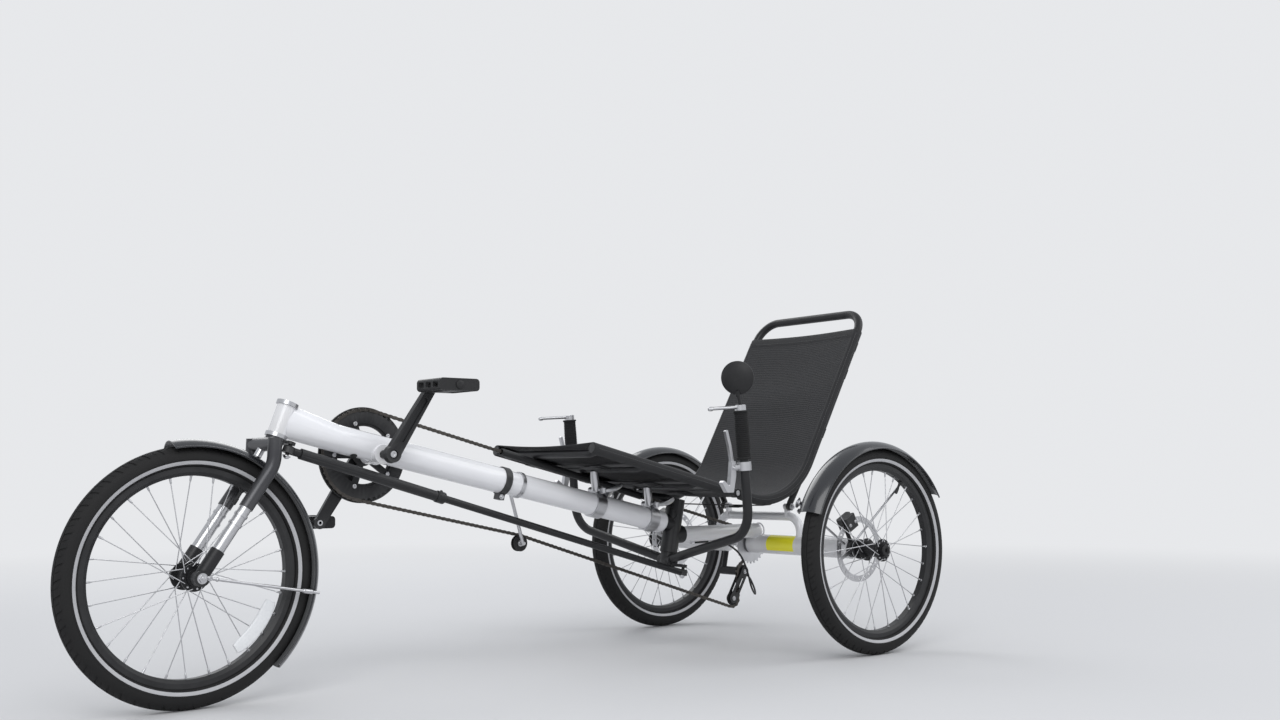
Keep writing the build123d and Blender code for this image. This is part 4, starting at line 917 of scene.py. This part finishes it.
def lever_blade(cam):
    """A flat curved blade from the cam."""
    path = [cam + Vector(row[:3]) for row in LEVER]
    rows = []
    for before, point, after, row in zip(path[:1] + path, path, path[1:] + path[-1:], LEVER):
        way = (after - before).normalized()
        thin = way.cross(UP).normalized()
        rows.append([
            point + out for out in circled(thin * LEVER_HALF_THICK, thin.cross(way) * row[3], 16)
        ])
    return skinned(rows)


def add_seat_levers():
    levers, skewers = [], []
    for x in CLAMP_XS:
        pin = boom_at(x) + BOOM_UP * (MAIN_RADIUS + 0.0085)
        cam = pin + ACROSS * 0.0245
        skewers.append(turned(pin - ACROSS * 0.0265, ACROSS, ((0, 0.0028), (0.053, 0.0028)), 16))
        skewers.append(turned(pin - ACROSS * 0.0200, -ACROSS, SKEWER_NUT))
        for face, length in ((1, 0.0085), (-1, 0.006)):
            seat = ((0, 0.0088), (length * 0.3, 0.0092), (length, 0.0086))
            skewers.append(turned(pin + ACROSS * (face * 0.0112), ACROSS * face, seat, 28))
        skewers.append(turned(cam - UP * 0.0065, UP, CAM))
        levers.append(lever_blade(cam))
    blades = add_piece("seat_clamp_levers", levers, "frame", "alloy", sharp=60)
    smooth = blades.modifiers.new("rounding", "SUBSURF")
    smooth.levels = smooth.render_levels = 1
    add_piece("seat_clamp_skewers", skewers, "frame", "alloy")


add_seat_levers()


# Ends and clips of the fender stays, and the front axle's nuts
def add_stay_trim():
    front = []
    hub = Vector((FRONT_X, 0, WHEEL_RADIUS))
    for sign in (1, -1):
        out = ACROSS * sign
        root = hub - AHEAD * 0.012 + out * 0.070
        tip = hub + out * 0.0342 + around(190) * 0.256
        way = (tip - root).normalized()
        front += [
            capsule(tip - way * 0.040, tip - way * 0.014, 0.0052),
            capsule(root + way * 0.012, root + way * 0.020, 0.0044),
            hex_nut(hub + out * 0.0659, out, 0.0078, 0.0060),
            cap_screw(root + out * 0.0030, out, 0.0036, 0.0034),
        ]
    add_piece("front_stay_trim", front, "fork", "steel")
    rear, inner = [], []
    oval = [(0.0060 * cos(2 * pi * k / 24), 0.0130 * sin(2 * pi * k / 24)) for k in range(24)]
    for side, sign in SIDES:
        for angle in (28, 135):
            out = around(angle)
            knee = AXLE + ACROSS * (sign * (WHEEL_Y - 0.065)) + out * 0.094
            tip = AXLE + ACROSS * (sign * (WHEEL_Y - 0.038)) + out * 0.257
            way = (tip - knee).normalized()
            clip = tip - way * 0.006 - ACROSS * (sign * 0.0045)
            rear += [
                capsule(tip - way * 0.030, tip + way * 0.0005, 0.0056),
                raised(oval, clip, out, above(out), -0.0012, 0.0012),
                cap_screw(clip - ACROSS * (sign * 0.0012), ACROSS * -sign, 0.0032, 0.0030),
            ]
        edge = AXLE + ACROSS * (sign * (WHEEL_Y - 0.0352)) + around(23.5) * 0.2485
        inner.append(cap_screw(edge, ACROSS * -sign, 0.0036, 0.0034))
    add_piece("rear_stay_trim", rear, "frame", "steel")
    add_piece("rear_fender_bolts", inner, "frame", "steel")


add_stay_trim()


# Brazed stop and clip that hold the gear cable under the rear tube
def add_cable_clips():
    sleeve = (
        (-0.0050, 0.0026), (-0.0050, 0.0036), (-0.0042, 0.0042), (0.0042, 0.0042), (0.0050, 0.0036),
        (0.0050, 0.0026),
    )
    foot = rounded(0.0076, 0.0056, 0.0012)
    clips = []
    for ahead, height in ((0.2265, 0.2605), (0.1675, 0.2615)):
        place = Vector((REAR_X + ahead, -0.014, height))
        clips.append(ringed(place, AHEAD, sleeve, 24))
        clips.append(raised(foot, place + UP * 0.0030, AHEAD, ACROSS, 0, 0.0098))
    add_piece("cable_clips", clips, "frame", "white_gloss", sharp=40)


add_cable_clips()

# Steering rod's ball joints, a rubber boot at each eye and a nut on each pin, and its sleeve's collar
ROD_Y, ROD_DROP = 0.045, 0.016
BOOT = (
    (0.0055, 0.0080), (0.0060, 0.0112), (0.0068, 0.0116), (0.0080, 0.0098), (0.0086, 0.0080), (0.0080, 0.0066)
)
COLLAR = (
    (-0.010, 0.0083), (-0.010, 0.0124), (-0.0085, 0.0130), (0.0085, 0.0130), (0.010, 0.0124),
    (0.010, 0.0112), (0.0005, 0.0112), (0.0, 0.0083),
)


def add_rod_trim():
    rear = pivot_at(0.196) + ACROSS * ROD_Y - ACROSS.cross(PIVOT_UP) * ROD_DROP
    front = HEAD_LOW - HEAD_UP * 0.0215 + ACROSS * ROD_Y - ACROSS.cross(HEAD_UP) * ROD_DROP
    boots = [ringed(rear, PIVOT_UP, BOOT, 32), ringed(front, HEAD_UP, BOOT, 32)]
    add_piece("rod_boots", boots, "steering_rod", "grip_rubber", sharp=60)
    rear_nut = hex_nut(rear - PIVOT_UP * 0.0071, -PIVOT_UP, 0.0066, 0.0046, 0.0018)
    add_piece("stem_arm_nut", [rear_nut], "handlebar", "steel")
    front_nut = hex_nut(front - HEAD_UP * 0.0124, -HEAD_UP, 0.0064, 0.0040, 0.0012)
    stud = turned(front - HEAD_UP * 0.0100, -HEAD_UP, ((0, 0.0039), (0.0030, 0.0039)), 20)
    add_piece("fork_arm_nut", [front_nut, stud], "fork", "steel")
    way = (front - rear).normalized()
    side = square_to(way)[0]
    place = rear + way * 0.724
    collar = [ringed(place, way, COLLAR, 32), cap_screw(place + side * 0.0128, side, 0.0026, 0.0026)]
    add_piece("rod_collar", collar, "steering_rod", "black_satin")


add_rod_trim()

# Ribbed grips on the handlebar's two upright ends
BAR_Y = WHEEL_Y - 0.067
BAR_TOP = Vector((REAR_X + 0.383, 0, 0.582))
BAR_UP = (BAR_TOP - Vector((REAR_X + 0.360, 0, 0.300))).normalized()
GRIP_LENGTH, GRIP_BORE, RIB_PITCH = 0.112, 0.0116, 0.0046


def add_grips():
    profile = [(0.0, GRIP_BORE), (0.0, 0.0165), (0.0008, 0.0176), (0.0032, 0.0178), (0.0042, 0.0170)]
    rib = 0.0058
    while rib < 0.1045:
        swell = 0.0154 + 0.0010 * sin(rib / GRIP_LENGTH * pi)
        profile += [
            (rib, swell - 0.0007), (rib + 0.0008, swell + 0.0004), (rib + 0.0026, swell + 0.0004),
            (rib + 0.0034, swell - 0.0007),
        ]
        rib += RIB_PITCH
    profile += [
        (0.1078, 0.0168), (0.1090, 0.0177), (0.1112, 0.0176), (GRIP_LENGTH, 0.0166), (GRIP_LENGTH, GRIP_BORE)
    ]
    rings = [ringed(BAR_TOP + ACROSS * (sign * BAR_Y), -BAR_UP, profile) for side, sign in SIDES]
    grips = add_piece("ribbed_grips", rings, "handlebar", "grip_rubber", sharp=50)
    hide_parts("grips")


add_grips()

# Bolts of the brake levers and gear levers, and the mirror's glass
GEAR_CAP = ((-0.0008, 0.0116), (0.0004, 0.0112), (0.0010, 0.0100), (0.0010, 0.0060), (0.0004, 0.0056))
MIRROR = Vector((REAR_X + 0.392, BAR_Y, 0.657))
MIRROR_WAY = Vector((0.85, 0.5, -0.12)).normalized()
MIRROR_FACE = MIRROR - MIRROR_WAY * 0.0055
GLASS = ((0, 0.0362), (0.0010, 0.0362), (0.0014, 0.0355))
GLASS_RIM = ((0, 0.0358), (0, 0.0384), (0.0016, 0.0382), (0.0022, 0.0374), (0.0016, 0.0362))


def add_bar_trim():
    bolts = []
    for side, sign in SIDES:
        top = BAR_TOP + ACROSS * (sign * BAR_Y)
        root = top - BAR_UP * 0.128
        knuckle = root + Vector((0.028, -sign * 0.011, -0.004))
        for face in (1, -1):
            bolts.append(cap_screw(knuckle + ACROSS * (face * 0.0062), ACROSS * face, 0.0040, 0.0030))
        cap = top + BAR_UP * 0.0122
        knob = cap + Vector((0.098, 0, -0.006)) - BAR_UP * 0.0054
        bolts += [
            cap_screw(root - AHEAD * 0.0155, -AHEAD, 0.0034, 0.0034),
            turned(cap, BAR_UP, GEAR_CAP),
            capsule(knob - Vector((0.012, 0, -0.0008)), knob + Vector((0.003, 0, -0.0002)), 0.0052),
        ]
    add_piece("lever_bolts", bolts, "handlebar", "alloy")
    glass = turned(MIRROR_FACE, -MIRROR_WAY, GLASS, 64)
    add_piece("mirror_glass", [glass], "handlebar", "alloy", ("mirror_glass",), 20)
    joint = MIRROR - MIRROR_WAY * 0.004
    rim = [
        ringed(MIRROR_FACE, -MIRROR_WAY, GLASS_RIM, 64),
        capsule(joint - UP * 0.046, joint - UP * 0.030, 0.0062),
    ]
    add_piece("mirror_rim", rim, "handlebar", "plastic", sharp=50)


add_bar_trim()


# Blank reflective label round the axle beam's left half
def add_label():
    low_turn, high_turn, steps = -35, 74, 28
    low_y, high_y, rows = 0.050, 0.145, 12
    vertices = []
    for lift in (0.0001, 0.0004):
        for row in range(rows + 1):
            place = Vector((REAR_X, low_y + (high_y - low_y) * row / rows, WHEEL_RADIUS))
            for step in range(steps + 1):
                out = around(low_turn + (high_turn - low_turn) * step / steps)
                vertices.append(place + out * (BEAM_RADIUS + lift))
    label = vertices, sheet_faces(rows + 1, steps + 1)
    add_piece("beam_label", [label], "frame", "label_yellow", sharp=60)


# Small black boss under the boom
def add_boom_boss():
    turn = radians(-70)
    out = ACROSS * cos(turn) + BOOM_UP * sin(turn)
    boss = turned(boom_at(0.424) + out * (BOOM_RADIUS - 0.0006), out, (
        (0, 0.0074), (0.0012, 0.0074), (0.0018, 0.0066), (0.0050, 0.0058), (0.0058, 0.0048), (0.0058, 0.0026),
        (0.0040, 0.0024),
    ))
    add_piece("boom_boss", [boss], "frame", "plastic", sharp=50)


add_label()
add_boom_boss()

# Camera, at the photograph's place and angle. Angles are in degrees
CAMERA_PLACE = Vector((1.7212, 2.4817, 0.4481))
CAMERA_YAW, CAMERA_PITCH, CAMERA_ROLL = 39.96, 4.80, -0.374
CAMERA_LENS = 36.69


def add_camera():
    yaw, pitch, roll = (radians(angle) for angle in (CAMERA_YAW, CAMERA_PITCH, CAMERA_ROLL))
    ahead = Vector((-sin(yaw) * cos(pitch), -cos(yaw) * cos(pitch), sin(pitch)))
    right = Vector((-cos(yaw), sin(yaw), 0))
    up = right.cross(ahead)
    turn = Matrix((right * cos(roll) + up * sin(roll), up * cos(roll) - right * sin(roll), -ahead))
    data = bpy.data.cameras.new("camera")
    data.sensor_width = 36
    data.lens = CAMERA_LENS
    camera = bpy.data.objects.new("camera", data)
    camera.matrix_world = Matrix.Translation(CAMERA_PLACE) @ turn.transposed().to_4x4()
    bpy.context.scene.collection.objects.link(camera)
    bpy.context.scene.camera = camera


# Floor, world and lamps
BACKDROP = (0.80, 0.81, 0.83, 1)
FLOOR_COLOUR = (0.64, 0.64, 0.65, 1)
SKY_LIGHT, SKY_STRENGTH = (0.93, 0.96, 1.0, 1), 0.72
FADE_FROM, FADE_TO = 1.6, 5.5


def add_floor():
    """A round floor that fades into the backdrop."""
    bpy.ops.mesh.primitive_circle_add(vertices=96, radius=40, fill_type="NGON")
    floor = bpy.context.active_object
    floor.name = "floor"
    material = bpy.data.materials.new("floor")
    material.use_nodes = True
    tree = material.node_tree
    shader = tree.nodes["Principled BSDF"]
    fill_inputs(tree, shader, {"Base Color": FLOOR_COLOUR, "Roughness": 0.9, "Specular IOR Level": 0.1})
    glow = add_node(tree, "Emission", "Emission", {"Color": BACKDROP})
    place = add_node(tree, "TexCoord", "Object", {})
    far = add_node(tree, "VectorMath", "Value", {0: place}, operation="LENGTH")
    fade = add_node(
        tree, "MapRange", "Result", {"Value": far, "From Min": FADE_FROM, "From Max": FADE_TO},
        interpolation_type="SMOOTHSTEP",
    )
    mix = add_node(tree, "MixShader", "Shader", {"Fac": fade, 1: shader.outputs["BSDF"], 2: glow})
    fill_inputs(tree, tree.nodes["Material Output"], {"Surface": mix})
    floor.data.materials.append(material)


def add_world():
    """A light that the camera sees as the backdrop."""
    world = bpy.data.worlds.new("studio")
    bpy.context.scene.world = world
    world.use_nodes = True
    tree = world.node_tree
    light = tree.nodes["Background"]
    fill_inputs(tree, light, {"Color": SKY_LIGHT, "Strength": SKY_STRENGTH})
    seen = add_node(tree, "Background", "Background", {"Color": BACKDROP})
    by_camera = add_node(tree, "LightPath", "Is Camera Ray", {})
    mix = add_node(tree, "MixShader", "Shader", {"Fac": by_camera, 1: light.outputs["Background"], 2: seen})
    fill_inputs(tree, tree.nodes["World Output"], {"Surface": mix})


def add_lamp(name, place, target, size, power):
    data = bpy.data.lights.new(name, "AREA")
    data.size = size
    data.energy = power
    lamp = bpy.data.objects.new(name, data)
    lamp.location = place
    lamp.rotation_mode = "QUATERNION"
    lamp.rotation_quaternion = (Vector(target) - Vector(place)).to_track_quat("-Z", "Y")
    bpy.context.scene.collection.objects.link(lamp)


add_camera()
add_floor()
add_world()
add_lamp("key", (2.6, 3.4, 3.4), (0, 0, 0.3), 3.2, 100)
add_lamp("fill", (-3.2, 2.4, 3.0), (0, 0, 0.4), 3.0, 42)
add_lamp("back", (-1.0, -3.6, 3.2), (0, 0, 0.4), 3.0, 55)
bpy.context.scene.view_settings.view_transform = "Standard"
